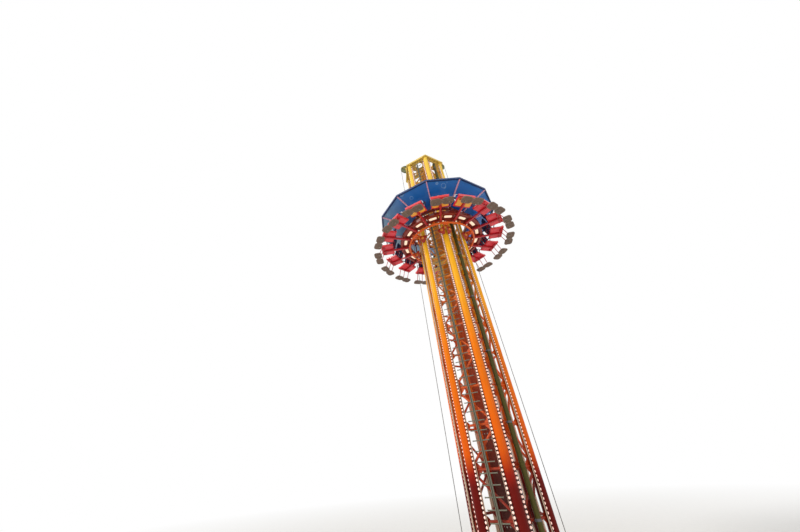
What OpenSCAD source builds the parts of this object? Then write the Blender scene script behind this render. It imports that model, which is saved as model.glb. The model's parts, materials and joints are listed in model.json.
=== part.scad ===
// Drop tower ride: a ring of seats under a canopy slides up and down a tower of six columns.
// Millimetres, +Z up. The origin is on the tower's axis, on the underside of the base frame.
// Angles run from +X: the columns stand at 0, 60, 120 and so on, the ladder is on the -Y side.

/* [Base] */
// Height and width of the base frame's beams
base_beam = 200; // [160:5:240]
// Radius of the solid hub where the radial beams meet
hub_r = 300; // [260:5:340]
// Radius of the anchor plate under the hub
hub_plate_r = 430; // [420:5:460]
// Radius of the anchor plate under each column
foot_plate_r = 300; // [290:5:340]
// Thickness of the anchor plates
anchor_plate_t = 40; // [30:5:60]
// Diameter of an anchor hole
anchor_d = 40; // [30:1:44]
// Distance from a column's centre out to its anchor hole
foot_anchor_out = 250; // [240:5:255]
// Radius of the circle of anchor holes in the hub plate
hub_anchor_r = 365; // [355:5:380]

/* [Columns] */
// Radius of the circle through the column centres
column_ring_r = 1050; // [1000:10:1100]
// Outer diameter of a column
column_d = 260; // [230:5:280]
// Height of the column tops above the ground
column_top = 17900; // [17000:50:18500]
// Radius of the flange at a column's foot
flange_r = 200; // [180:5:215]
// Thickness of that flange
flange_t = 30; // [20:1:40]
// Width of a light rail, from the column's side outwards
rail_w = 80; // [60:5:95]
// Thickness of a light rail
rail_t = 30; // [20:1:36]
// Gap between a light rail's back and the bracing bars and section plate
rail_gap = 3; // [2:1:12]
// Height where the light rails start
rail_start = 500; // [300:10:900]
// Distance from the column tops down to the ends of the light rails and bracing
top_margin = 200; // [150:10:260]

/* [Bracing] */
// Diameter of the bracing bars
brace_d = 70; // [50:1:80]
// Height of the lowest bracing joint on the columns
brace_start = 1055; // [1000:5:1200]
// Height of one zigzag step
brace_step = 1065; // [900:5:1200]
// Number of the tie that the section plate lies on
section_tie = 9; // [5:1:9]
// Thickness of the plate that joins the tower's sections
section_t = 40; // [20:1:60]
// How far the section plate's edges reach past the bracing's middle plane
section_edge = 38; // [20:1:45]
// Distance of the plates' openings from the ropes' inner runs, towards the axis
opening_shift = 60; // [40:5:80]
// Radius of one opening in the plates
opening_hole_r = 200; // [180:5:210]

/* [Ladder and ducts] */
// Width of the ladder's rungs
rung_w = 500; // [400:10:560]
// Distance between two rungs
rung_step = 250; // [220:5:300]
// Diameter of a rung
rung_d = 28; // [20:1:36]
// Side of the ladder's square spine
spine_side = 70; // [50:1:90]
// Height of the lowest rung
ladder_start = 600; // [400:10:1000]
// Distance from the column tops down to the ladder's end
ladder_drop = 300; // [260:10:400]
// Diameter of the cable duct
duct_d = 140; // [100:2:160]
// Distance from the column tops down to the duct's end
duct_drop = 500; // [400:10:700]
// Distance of the duct from the nearest column's centre, along the tower's side
duct_along = 455; // [400:5:500]
// Distance of the duct in front of the bracing's middle plane
duct_forward = 125; // [120:1:150]
// Side of the square hoist mast inside the tower
mast_side = 300; // [240:10:340]

/* [Hoist] */
// Diameter of a hoist rope
rope_d = 20; // [12:1:24]
// Radius of a rope's path round its sheave
sheave_r = 350; // [320:5:360]
// Width of a sheave
sheave_w = 60; // [50:1:80]
// Diameter of a sheave's shaft
shaft_d = 50; // [40:1:60]
// Height of the lower sheave shafts
return_z = 700; // [690:5:720]
// Height of the upper sheave shafts above the head plate
head_shaft_h = 420; // [410:5:500]
// Thickness of the sheaves' cheek plates
cheek_t = 16; // [10:1:24]
// How far the head plate's corners reach past the columns' centres
head_plate_edge = 250; // [220:5:290]
// Thickness of the head plate
head_plate_t = 60; // [40:1:90]

/* [Carriage] */
// Height of the seat arms' tops, at rest
arm_top = 12150; // [12000:10:12300]
// Distance from the hoist ropes out to the carriage's inner ring
clamp_reach = 150; // [140:5:170]
// Width of the two carriage rings
ring_w = 100; // [80:5:110]
// Height of the two carriage rings
ring_h = 150; // [120:5:180]
// Distance between the two carriage rings
ring_gap = 300; // [250:5:350]
// Width of the webs that join the two rings
web_w = 110; // [80:5:130]
// Diameter of the guide ring's tube
guide_tube_d = 90; // [70:2:100]
// Drop from the seat arms' tops to the guide ring's middle
guide_drop = 150; // [140:5:170]
// Diameter of the posts that hold the guide ring
guide_post_d = 50; // [40:2:60]
// Diameter of a guide roller
roller_d = 200; // [160:5:220]
// Width of a guide roller
roller_w = 110; // [90:2:130]
// Diameter of a guide roller's pin
pin_d = 30; // [20:1:40]

/* [Seats] */
// Height and width of a seat arm
arm_h = 80; // [60:5:90]
arm_w = 70; // [60:5:90]
// Length of a seat arm between the carriage and the seat pan
arm_free = 380; // [350:5:400]
// Distance from the front of a seat pan back to the end of its arm
arm_setback = 110; // [100:5:160]
// Depth of a seat pan, outwards
pan_depth = 630; // [600:5:650]
// Width of a two-seat pan
pan_w = 780; // [770:5:800]
// Height of a pan's seating surface above its underside
pan_t = 100; // [90:5:120]
// Height of a pan's front lip above its underside
pan_lip = 135; // [130:1:160]
// Width of one seat back
back_w = 350; // [320:5:360]
// Height of a seat back along its slope
back_h = 780; // [700:10:800]
// Thickness of a seat back
back_t = 60; // [40:2:80]
// Lean of the seat backs towards the tower
back_lean = 20; // [14:0.5:22]
// Distance between the two backs of a seat
back_gap = 30; // [24:1:36]
// Diameter of the lap bars
lap_bar_d = 36; // [28:1:42]
// Radius of the lap bars' bends
lap_bend_r = 90; // [60:5:120]
// Height of a lap bar above the seating surface
lap_bar_h = 340; // [300:5:380]
// Drop from the arms' tops to a footplate's top
foot_drop = 420; // [380:5:450]
// How far the footplates start behind the pans' front edges
foot_inset = 10; // [0:5:20]
// Depth of a footplate, outwards
foot_depth = 370; // [340:5:400]
// Length of a two-lobed footplate
foot_len = 950; // [900:5:980]
// Thickness of a footplate
foot_t = 30; // [20:1:40]
// Diameter of the footplate's hanger tubes
hanger_d = 32; // [24:1:40]

/* [Canopy] */
// Radius of the canopy's corners
canopy_r = 3020; // [2950:5:3060]
// Height of the canopy's corners above the seat arms' tops
canopy_rise = 1350; // [1320:5:1400]
// Rise of the canopy from the axis to its corners
canopy_flare = 900; // [850:5:920]
// Thickness of a canopy panel
panel_t = 20; // [12:1:30]
// Depth and width of a canopy rib
rib_d = 50; // [40:1:60]
rib_w = 50; // [40:1:60]
// Width of the rim round the canopy
rim_w = 34; // [24:1:44]
// Height of the rim round the canopy
rim_h = 90; // [60:5:100]
// Distance between the guide rollers and the upper guide ring
roller_room = 80; // [76:2:90]
// Height of the upper guide ring's top above the seat arms' tops
upper_ring_rise = 940; // [900:5:945]
// Width of the upper guide ring
upper_ring_w = 60; // [50:2:70]
// Height of the upper guide ring
upper_ring_h = 120; // [100:5:130]
// Diameter of the canopy's posts
post_d = 60; // [50:2:80]

/* [Hidden] */
$fn = 64;
fit = 0.3;            // gap where two pieces seat on each other
run_gap = 6;          // side clearance of rollers and sheaves
rope_clearance = 6;   // gap between a rope and the clamp round it
COLUMNS = 6;
SEATS = 16;
PANELS = 12;
BAR_SIDES = 8;
column_angles = [for (i = [0 : COLUMNS - 1]) i * 360 / COLUMNS];
face_angles = [for (a = column_angles) a + 180 / COLUMNS];
rope_angles = [30, 210];
seat_angles = [for (i = [0 : SEATS - 1]) i * 360 / SEATS];
rib_angles = [for (i = [0 : PANELS - 1]) (i + 0.5) * 360 / PANELS];
panel_angles = [for (i = [0 : PANELS - 1]) i * 360 / PANELS];
guide_post_angles = [for (i = [0 : SEATS / 2 - 1]) (i + 0.25) * 720 / SEATS];
half_bay = 180 / COLUMNS;
half_panel = 180 / PANELS;

column_rad = column_d / 2;
column_h = column_top - base_beam;
column_seat_r = base_beam * 1.15;
face_r = column_ring_r * cos(half_bay);
half_chord = column_ring_r * sin(half_bay);
brace_steps = floor((column_top - top_margin - brace_start) / brace_step);
tie_heights = [for (k = [1 : brace_steps]) brace_start + k * brace_step];
clamp_heights = [for (k = [1 : 2 : brace_steps]) brace_start + k * brace_step];
brace_flat = brace_d / 2 * cos(180 / BAR_SIDES);
clamp_h = brace_d - 10;
section_z = brace_start + section_tie * brace_step + brace_flat + fit;
rail_back = (column_rad + fit)
    * sin(asin((max(brace_d / 2, section_edge) + rail_gap) / (column_rad + fit)) - half_bay);
ladder_r = column_ring_r;
ladder_top = column_top - ladder_drop;
rungs = floor((ladder_top - ladder_start) / rung_step);
duct_top = column_top - duct_drop;

shaft_r = column_ring_r;
opening_r = shaft_r - sheave_r - opening_shift;
head_plate_r = column_ring_r + head_plate_edge;
head_z = column_top + head_plate_t;
head_shaft_z = head_z + head_shaft_h;
groove_r = rope_d / 2 + fit;
sheave_rim_r = sheave_r + rope_d * 0.75;

inner_ring_r = shaft_r + sheave_r + clamp_reach;
outer_ring_r = inner_ring_r + ring_w + ring_gap;
ring_mid_r = inner_ring_r + ring_w / 2;
ring_base = arm_top + fit;
ring_top = ring_base + ring_h;
guide_z = arm_top - guide_drop;
roller_r = column_ring_r + column_rad + fit + roller_d / 2;
fork_cheek = 14;
fork_half = roller_w / 2 + run_gap + fork_cheek;
upper_ring_r = roller_r + roller_d / 2 + roller_room;
upper_ring_top = arm_top + upper_ring_rise;
upper_ring_z = upper_ring_top - upper_ring_h / 2;

pan_r = outer_ring_r + ring_w + arm_free;
arm_end_r = pan_r + pan_depth - arm_setback;
foot_r = pan_r + pan_depth - foot_inset;
pan_z = arm_top + fit;
seat_z = pan_z + pan_t;
lap_foot_r = pan_r + 170;
lap_forward = 150;    // how far the lap bars lean outwards over their feet
lap_side = pan_w / 2 - lap_bar_d;
foot_top = arm_top - foot_drop;
hanger_top_r = pan_r + pan_depth - 55;
hanger_foot_r = foot_r + 130;
hanger_side = foot_len * 0.3;

slope = canopy_flare / canopy_r;
rib_tilt = atan(slope);
panel_tilt = atan(slope / cos(half_panel));
canopy_apex = arm_top + canopy_rise - canopy_flare;
rib_start = upper_ring_r + upper_ring_w + fit;
panel_start = upper_ring_r + upper_ring_w + panel_t * sin(panel_tilt) + 5;
panel_end = (canopy_r - rim_w - 1) * cos(half_panel);
rib_end = canopy_r - rim_w - rib_w / 2 * tan(half_panel) - 1;
panel_joint = 8;      // half the gap between two panels, over a rib

// Places its children round the axis, at each angle and at radius r
module around(angles, r = 0) {
    for (a = angles) rotate(a) translate([r, 0, 0]) children();
}

// A straight bar between two points; with few sides, its flats face up, down and outwards
module bar(from, to, d, sides) {
    v = to - from;
    length = norm(v);
    translate(from)
        rotate([0, acos(v.z / length), atan2(v.y, v.x)]) rotate(180 / sides)
            cylinder(d = d, h = length, $fn = sides);
}

// A rectangle with true round corners, centred on the origin
module round_rect(w, h, r) {
    square([w - 2 * r, h], center = true);
    square([w, h - 2 * r], center = true);
    for (x = [-1, 1], y = [-1, 1])
        translate([x * (w / 2 - r), y * (h / 2 - r)]) circle(r);
}

// A flat ring of rectangular section
module box_ring(r, w, z, h) {
    translate([0, 0, z]) rotate_extrude($fn = 96) translate([r, 0]) square([w, h]);
}

// Room for the columns, slightly wider than they are
module column_room(z, h) {
    around(column_angles, column_ring_r)
        translate([0, 0, z]) cylinder(r = column_rad + fit, h = h);
}

// Plan of the beams: hub, spokes, the hexagon under the columns and a seat for each column
module beams_plan() {
    circle(hub_r);
    around(column_angles)
        translate([0, -base_beam / 2]) square([column_ring_r, base_beam]);
    around(face_angles, face_r)
        translate([-base_beam / 2, -half_chord]) square([base_beam, 2 * half_chord]);
    around(column_angles, column_ring_r) circle(column_seat_r);
}

module base_frame() {
    color("dimgray") {
        translate([0, 0, anchor_plate_t])
            linear_extrude(base_beam - anchor_plate_t) beams_plan();
        linear_extrude(anchor_plate_t) difference() {
            union() {
                beams_plan();
                circle(hub_plate_r);
                around(column_angles, column_ring_r) circle(foot_plate_r);
            }
            around(column_angles, column_ring_r + foot_anchor_out) circle(d = anchor_d);
            around(face_angles, hub_anchor_r) circle(d = anchor_d);
        }
    }
}

module column(i) {
    color("orange") rotate(column_angles[i]) translate([column_ring_r, 0, base_beam + fit]) {
        cylinder(d = column_d, h = column_h - fit);
        difference() {
            cylinder(r = flange_r, h = flange_t);
            translate([0, 0, -1]) cylinder(r = column_rad + fit, h = flange_t + 2);
        }
    }
}

// One side of the tower: ties and zigzag diagonals, cut to fit the two columns
module brace_panel(i) {
    reach = half_chord;
    color("darkorange") difference() {
        rotate(face_angles[i]) translate([face_r, 0, 0]) {
            for (z = tie_heights)
                bar([0, -reach, z], [0, reach, z], brace_d, BAR_SIDES);
            for (k = [0 : brace_steps - 1]) {
                side = (k + i) % 2 == 0 ? 1 : -1;
                low = brace_start + k * brace_step;
                bar([0, -side * reach, low], [0, side * reach, low + brace_step], brace_d, BAR_SIDES);
            }
        }
        column_room(0, column_top);
    }
}

// Two flat rails on the sides of each column carry the rows of lamps
module light_rails() {
    rail_h = column_top - top_margin - rail_start;
    color("antiquewhite") difference() {
        around(column_angles, column_ring_r)
            for (side = [-1, 1])
                translate([rail_back,
                           side > 0 ? column_rad * 0.8 : -column_rad - rail_w,
                           rail_start])
                    cube([rail_t, column_rad * 0.2 + rail_w, rail_h]);
        column_room(0, column_top);
    }
}

// A central spine with rungs on both sides, held off the tower's ties
module ladder() {
    tie_front = face_r + brace_flat + fit;
    color("slategray") rotate(-90) {
        translate([ladder_r - spine_side / 2, -spine_side / 2, ladder_start - 200])
            cube([spine_side, spine_side, ladder_top - ladder_start + 200]);
        for (k = [0 : rungs], side = [-1, 1])
            bar([ladder_r, side * (spine_side / 2 + fit), ladder_start + k * rung_step],
                [ladder_r, side * rung_w / 2, ladder_start + k * rung_step], rung_d, BAR_SIDES);
        for (z = clamp_heights)
            translate([tie_front, -spine_side / 2, z - clamp_h / 2])
                cube([ladder_r - spine_side / 2 - fit - tie_front, spine_side, clamp_h]);
    }
}

// A pipe for the cables, clamped to the ties of one side
module cable_duct() {
    clamp_w = duct_d * 0.6;
    color("darkolivegreen") rotate(-half_bay)
        translate([face_r, duct_along - half_chord, 0]) {
            translate([duct_forward, 0, base_beam + fit])
                cylinder(d = duct_d, h = duct_top - base_beam - fit);
            for (z = clamp_heights)
                translate([brace_flat + fit, -clamp_w / 2, z - clamp_h / 2])
                    cube([duct_forward - duct_d / 2 - brace_flat - 2 * fit, clamp_w, clamp_h]);
        }
}

module hoist_mast() {
    color("saddlebrown")
        translate([-mast_side / 2, -mast_side / 2, base_beam + fit])
            cube([mast_side, mast_side, column_h - fit]);
}

// A round opening on each side lets the ropes and cables through a plate
module plate_openings(z, h) {
    around(face_angles, opening_r)
        translate([0, 0, z - 1]) cylinder(r = opening_hole_r, h = h + 2);
}

module section_plate() {
    corner_r = (face_r + section_edge) / cos(half_bay);
    hole = mast_side + 2 * fit;
    color("gold") difference() {
        translate([0, 0, section_z]) cylinder(r = corner_r, h = section_t, $fn = 6);
        plate_openings(section_z, section_t);
        column_room(section_z - 1, section_t + 2);
        translate([-hole / 2, -hole / 2, section_z - 1]) cube([hole, hole, section_t + 2]);
    }
}

module head_plate() {
    color("khaki") difference() {
        translate([0, 0, column_top + fit])
            cylinder(r = head_plate_r, h = head_plate_t - fit, $fn = 6);
        plate_openings(column_top, head_plate_t);
    }
}

// Two cheek plates and a shaft, with the sheave's middle plane at y = 0
module sheave_bracket(shaft_z, outline) {
    cheek_y = sheave_w / 2 + run_gap;
    for (side = [-1, 1])
        translate([0, side * (cheek_y + cheek_t / 2), 0])
            rotate([90, 0, 0])
                linear_extrude(cheek_t, center = true) {
                    polygon(outline);
                    translate([shaft_r, shaft_z]) circle(shaft_d * 1.5);
                }
    translate([shaft_r, 0, shaft_z]) rotate([90, 0, 0])
        cylinder(d = shaft_d, h = 2 * (cheek_y + cheek_t + 12), center = true);
}

module head_brackets() {
    outline = [[shaft_r - 150, head_z + fit], [shaft_r + 60, head_z + fit],
               [shaft_r + 70, head_shaft_z], [shaft_r - 70, head_shaft_z]];
    color("khaki") around(rope_angles) sheave_bracket(head_shaft_z, outline);
}

module return_brackets() {
    beam_out = face_r + base_beam / 2;
    outline = [[face_r - base_beam / 2 + 20, base_beam + fit], [beam_out - 5, base_beam + fit],
               [shaft_r + 70, return_z - 60], [shaft_r, return_z], [shaft_r - 70, return_z]];
    color("dimgray") around(rope_angles) sheave_bracket(return_z, outline);
}

// A grooved wheel about the y axis
module sheave() {
    rim_in = sheave_r - 50;
    hub_out = shaft_d / 2 + 40;
    rotate([90, 0, 0]) rotate_extrude($fn = 72) difference() {
        union() {
            translate([shaft_d / 2 + fit, -sheave_w / 2])
                square([hub_out - shaft_d / 2 - fit, sheave_w]);
            translate([hub_out - 1, -sheave_w / 6]) square([rim_in - hub_out + 2, sheave_w / 3]);
            translate([rim_in, -sheave_w / 2]) square([sheave_rim_r - rim_in, sheave_w]);
        }
        translate([sheave_r, 0]) circle(groove_r, $fn = 32);
        translate([sheave_r, -groove_r]) square([sheave_rim_r, 2 * groove_r]);
    }
}

module head_sheaves() {
    color("olive") around(rope_angles, shaft_r) translate([0, 0, head_shaft_z]) sheave();
}

module return_sheaves() {
    color("dimgray") around(rope_angles, shaft_r) translate([0, 0, return_z]) sheave();
}

// Each rope is one loop: outside the tower, over the head sheave and back inside
module hoist_ropes() {
    color("gray") around(rope_angles, shaft_r) {
        for (side = [-1, 1])
            translate([side * sheave_r, 0, return_z])
                cylinder(d = rope_d, h = head_shaft_z - return_z, $fn = 24);
        translate([0, 0, head_shaft_z]) rotate([90, 0, 0])
            rotate_extrude(angle = 180, $fn = 72) translate([sheave_r, 0]) circle(d = rope_d, $fn = 24);
        translate([0, 0, return_z]) rotate([-90, 0, 0])
            rotate_extrude(angle = 180, $fn = 72) translate([sheave_r, 0]) circle(d = rope_d, $fn = 24);
    }
}

module guide_ring() {
    color("orangered") {
        translate([0, 0, guide_z]) rotate_extrude($fn = 96)
            translate([ring_mid_r, 0]) circle(d = guide_tube_d);
        around(guide_post_angles, ring_mid_r)
            translate([0, 0, guide_z]) cylinder(d = guide_post_d, h = guide_drop);
    }
}

// A forked bracket with its pin, reaching from a ring in to a roller
module roller_bracket(back_r) {
    height = roller_d * 0.6;
    front_r = roller_r - pin_d;
    for (side = [-1, 1])
        translate([front_r, side * (fork_half - fork_cheek / 2) - fork_cheek / 2, -height / 2])
            cube([back_r - front_r, fork_cheek, height]);
    translate([back_r - 2 * fork_cheek, -fork_half, -height / 2])
        cube([2 * fork_cheek, 2 * fork_half, height]);
    translate([roller_r, 0, 0]) rotate([90, 0, 0])
        cylinder(d = pin_d, h = 2 * (fork_half + 8), center = true);
}

module guide_brackets() {
    tube_in = ring_mid_r - guide_tube_d / 2;
    lower_back = sqrt(tube_in * tube_in - fork_half * fork_half) - 2 * fit;
    upper_back = sqrt(upper_ring_r * upper_ring_r - fork_half * fork_half) - 2 * fit;
    color("darkorange") {
        around(column_angles) translate([0, 0, guide_z]) roller_bracket(lower_back);
        around(column_angles) translate([0, 0, upper_ring_z]) roller_bracket(upper_back);
    }
}

module guide_rollers() {
    color("white") for (z = [guide_z, upper_ring_z])
        around(column_angles, roller_r)
            translate([0, 0, z]) rotate([90, 0, 0]) difference() {
                cylinder(d = roller_d, h = roller_w, center = true);
                cylinder(d = pin_d + 2 * fit, h = roller_w + 2, center = true);
            }
}

module carriage_inner_ring() {
    color("maroon") box_ring(inner_ring_r, ring_w, ring_base, ring_h);
}

module carriage_outer_ring() {
    color("maroon") box_ring(outer_ring_r, ring_w, ring_base, ring_h);
}

// Webs between the two rings, over the seat arms, leave one window in each bay
module carriage_webs() {
    inner = inner_ring_r + ring_w + fit;
    color("brown") difference() {
        intersection() {
            around(seat_angles)
                translate([inner_ring_r, -web_w / 2, ring_base])
                    cube([outer_ring_r - inner_ring_r + 50, web_w, ring_h]);
            cylinder(r = outer_ring_r - fit, h = ring_top + 1, $fn = 96);
        }
        cylinder(r = inner, h = ring_top + 1, $fn = 96);
    }
}

// Blocks on the inner ring, each bored for the rope that hoists it
module rope_clamps() {
    rope_r = shaft_r + sheave_r;
    half_w = 50;
    back_r = sqrt(inner_ring_r * inner_ring_r - half_w * half_w) - fit;
    color("darkorange") around(rope_angles, rope_r) difference() {
        translate([-45, -half_w, arm_top + 30])
            cube([back_r - rope_r + 45, 2 * half_w, ring_h - 30]);
        translate([0, 0, arm_top])
            cylinder(r = rope_d / 2 + rope_clearance, h = ring_h + 1);
    }
}

module seat_arms() {
    color("crimson") around(seat_angles)
        translate([inner_ring_r + 10, -arm_w / 2, arm_top - arm_h])
            cube([arm_end_r - inner_ring_r - 10, arm_w, arm_h]);
}

// A moulded pan with a raised front lip, drawn as its side outline
module seat_pans() {
    outline = [[0, 0], [pan_depth - 30, 0], [pan_depth, 30], [pan_depth, pan_lip - 25],
               [pan_depth - 30, pan_lip], [pan_depth - 70, pan_lip - 10],
               [pan_depth - 110, pan_t], [0, pan_t]];
    color("red") around(seat_angles, pan_r)
        translate([0, 0, pan_z]) rotate([90, 0, 0])
            linear_extrude(pan_w, center = true) polygon(outline);
}

module seat_backs() {
    color("midnightblue") around(seat_angles, pan_r + 60)
        for (side = [-1, 1])
            translate([0, side * (back_w + back_gap) / 2, seat_z + fit])
                rotate([0, -back_lean, 0]) translate([0, 0, back_h / 2])
                    rotate([90, 0, 90]) linear_extrude(back_t) round_rect(back_w, back_h, 90);
}

// A bent tube over each seat pan: two legs, two elbows and a cross bar, in one leaning plane
module lap_bars() {
    lean = atan(lap_forward / lap_bar_h);
    leg = norm([lap_forward, lap_bar_h]);
    side = lap_side - lap_bend_r;
    color("silver") around(seat_angles) intersection() {
        translate([lap_foot_r, 0, seat_z]) rotate([0, lean, 0]) {
            for (y = [-lap_side, lap_side])
                translate([0, y, -30]) cylinder(d = lap_bar_d, h = leg - lap_bend_r + 30);
            translate([0, 0, leg]) rotate([90, 0, 0])
                cylinder(d = lap_bar_d, h = 2 * side, center = true);
            for (turn = [0, 180])
                rotate(turn) translate([0, side, leg - lap_bend_r]) rotate([90, 0, 90])
                    rotate_extrude(angle = 90) translate([lap_bend_r, 0]) circle(d = lap_bar_d);
        }
        translate([lap_foot_r - 100, -pan_w / 2, seat_z + fit])
            cube([pan_depth, pan_w, lap_bar_h + lap_bar_d]);
    }
}

// Two rounded lobes joined in the middle
module footplates() {
    lobe = foot_len * 0.47;
    color("rosybrown") around(seat_angles, foot_r + foot_depth / 2)
        translate([0, 0, foot_top - foot_t]) linear_extrude(foot_t) {
            for (side = [-1, 1])
                translate([0, side * (foot_len - lobe) / 2]) round_rect(foot_depth, lobe, 120);
            square([foot_depth * 0.62, foot_len * 0.3], center = true);
        }
}

module footplate_hangers() {
    color("crimson") around(seat_angles) intersection() {
        for (y = [-hanger_side, 0, hanger_side])
            bar([hanger_top_r - 30, y, arm_top + 60],
                [hanger_foot_r + 30, y, foot_top - 60], hanger_d, 24);
        translate([hanger_top_r - 100, -pan_w / 2, foot_top + fit])
            cube([pan_depth, pan_w, foot_drop - fit]);
    }
}

module upper_guide_ring() {
    color("maroon") box_ring(upper_ring_r, upper_ring_w, upper_ring_top - upper_ring_h, upper_ring_h);
}

// Height of the canopy's underside along a rib, at radius r
function rib_line(r) = canopy_apex + slope * r;

module canopy_posts() {
    rib_under = rib_line(ring_mid_r - post_d / 2) - rib_d / cos(rib_tilt) - 1;
    color("maroon") around(rib_angles, ring_mid_r)
        translate([0, 0, ring_top + fit]) cylinder(d = post_d, h = rib_under - ring_top - fit);
}

module canopy_ribs() {
    length = (rib_end - rib_start - rib_d * sin(rib_tilt)) / cos(rib_tilt);
    color("lightpink") around(rib_angles, rib_start)
        translate([0, 0, rib_line(rib_start) - fit])
            rotate([0, -rib_tilt, 0]) translate([0, -rib_w / 2, -rib_d])
                cube([length, rib_w, rib_d]);
}

module canopy_panels() {
    length = (panel_end - panel_start) / cos(panel_tilt);
    inner = panel_start * tan(half_panel) - panel_joint;
    outer = panel_end * tan(half_panel) - panel_joint;
    color("steelblue") around(panel_angles, panel_start)
        translate([0, 0, canopy_apex + panel_start * tan(panel_tilt)])
            rotate([0, -panel_tilt, 0]) linear_extrude(panel_t)
                polygon([[0, -inner], [length, -outer], [length, outer], [0, inner]]);
}

module canopy_rim() {
    color("navy") translate([0, 0, arm_top + canopy_rise - rim_h * 0.6]) rotate(half_panel)
        difference() {
            cylinder(r = canopy_r, h = rim_h, $fn = PANELS);
            translate([0, 0, -1]) cylinder(r = canopy_r - rim_w, h = rim_h + 2, $fn = PANELS);
        }
}

base_frame();
for (i = [0 : COLUMNS - 1]) {
    column(i);
    brace_panel(i);
}
light_rails();
ladder();
cable_duct();
hoist_mast();
section_plate();
head_plate();
head_brackets();
head_sheaves();
return_brackets();
return_sheaves();
hoist_ropes();
guide_ring();
guide_brackets();
guide_rollers();
carriage_inner_ring();
carriage_outer_ring();
carriage_webs();
rope_clamps();
seat_arms();
seat_pans();
seat_backs();
lap_bars();
footplates();
footplate_hangers();
upper_guide_ring();
canopy_posts();
canopy_ribs();
canopy_panels();
canopy_rim();
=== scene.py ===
import json
import math

import bmesh
import bpy
from mathutils import Matrix, Vector


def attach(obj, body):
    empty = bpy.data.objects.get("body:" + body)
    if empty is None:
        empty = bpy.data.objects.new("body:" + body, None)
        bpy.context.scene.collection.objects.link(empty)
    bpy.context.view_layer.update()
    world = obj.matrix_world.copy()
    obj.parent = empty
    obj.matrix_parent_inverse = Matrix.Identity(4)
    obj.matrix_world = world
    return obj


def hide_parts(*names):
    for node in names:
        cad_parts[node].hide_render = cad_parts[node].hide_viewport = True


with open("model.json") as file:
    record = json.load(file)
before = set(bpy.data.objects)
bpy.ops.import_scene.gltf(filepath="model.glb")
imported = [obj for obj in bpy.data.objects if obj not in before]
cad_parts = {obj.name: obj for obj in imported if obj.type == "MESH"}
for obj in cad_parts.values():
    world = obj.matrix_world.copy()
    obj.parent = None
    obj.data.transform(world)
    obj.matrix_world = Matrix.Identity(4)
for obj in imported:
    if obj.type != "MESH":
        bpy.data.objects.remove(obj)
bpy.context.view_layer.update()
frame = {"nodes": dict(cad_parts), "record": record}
print("frame loaded,", len(frame["nodes"]), "nodes")

# Main sizes of the ride, in metres, as the frame has them
columns, seats, panels = 6, 16, 12
tower = {
    "columnRing": 1.05,
    "columnRadius": 0.13,
    "footTop": 0.2305,
    "railTop": 17.7,
    "railBottom": 0.5,
    "braceStart": 1.055,
    "braceStep": 1.065,
    "braceSteps": 15,
    "rungStep": 0.25,
    "rungStart": 0.6,
    "rungs": 69,
}
gondola = {
    "armTop": 12.15,
    "ringUnder": 12.1503,
    "ringTop": 12.3003,
    "ringHeight": 0.15,
    "ringWidth": 0.1,
    "innerRing": 1.55,
    "outerRing": 1.95,
    "postRing": 1.6,
    "guideHeight": 12.0,
    "panStart": 2.43,
    "panDepth": 0.63,
    "panWidth": 0.78,
    "seatHeight": 12.25,
    "footTop": 11.73,
}
columnTurn, seatTurn, panelTurn = 360 / columns, 360 / seats, 360 / panels  # degrees from one to the next
tower["faceRadius"] = tower["columnRing"] * math.cos(math.radians(columnTurn / 2))  # to the middle of a side


def newObject(name, data):
    thing = bpy.data.objects.new(name, data)
    bpy.context.scene.collection.objects.link(thing)
    return thing


# The photographer stands at azimuth degrees from +X, distance metres from the tower's axis
photoCamera = {
    "azimuth": -75.134,
    "distance": 11.375,
    "height": 3.431,
    "yaw": 15.215,
    "pitch": 38.576,
    "roll": -4.393,
    "lens": 12.385,
    "shiftX": 0.0218,
    "shiftY": -0.025,
}


def placeCamera(spec):
    azimuth, yaw, pitch, roll = (math.radians(spec[k]) for k in ("azimuth", "yaw", "pitch", "roll"))
    heading = azimuth + math.pi + yaw
    level = math.cos(pitch)
    ahead = Vector((math.cos(heading) * level, math.sin(heading) * level, math.sin(pitch)))
    levelRight = Vector((math.sin(heading), -math.cos(heading), 0))
    levelUp = levelRight.cross(ahead)
    right = math.cos(roll) * levelRight + math.sin(roll) * levelUp
    up = math.cos(roll) * levelUp - math.sin(roll) * levelRight
    away = spec["distance"]
    camera = newObject("photoCamera", bpy.data.cameras.new("photoCamera"))
    camera.matrix_world = Matrix((right, up, -ahead)).transposed().to_4x4()
    camera.location = (away * math.cos(azimuth), away * math.sin(azimuth), spec["height"])
    camera.data.sensor_width = 36
    camera.data.lens = spec["lens"]
    camera.data.shift_x = spec["shiftX"]
    camera.data.shift_y = spec["shiftY"]
    camera.data.clip_end = 200
    bpy.context.scene.camera = camera


placeCamera(photoCamera)


# Small helpers for node trees. A socket given as a value is linked, anything else is set
def setSockets(tree, node, sockets):
    for key, value in sockets.items():
        if isinstance(value, bpy.types.NodeSocket):
            tree.links.new(value, node.inputs[key])
        else:
            node.inputs[key].default_value = value


def addNode(tree, kind, sockets=None, **settings):
    node = tree.nodes.new(kind)
    for key, value in settings.items():
        setattr(node, key, value)
    setSockets(tree, node, sockets or {})
    return node


def maths(tree, operation, *values):
    return addNode(tree, "ShaderNodeMath", dict(enumerate(values)), operation=operation).outputs[0]


def tone(red, green, blue):  # a screen colour, 0 to 255, as linear light
    light = [((c / 255 + 0.055) / 1.055) ** 2.4 if c > 10 else c / 3295 for c in (red, green, blue)]
    return (*light, 1.0)


def mixTones(tree, factor, low, high, kind="MIX"):  # each of the two is a socket or a screen colour
    low, high = (tone(*c) if isinstance(c, tuple) else c for c in (low, high))
    sockets = {0: factor, 6: low, 7: high}
    return addNode(tree, "ShaderNodeMix", sockets, data_type="RGBA", blend_type=kind).outputs[2]


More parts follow.
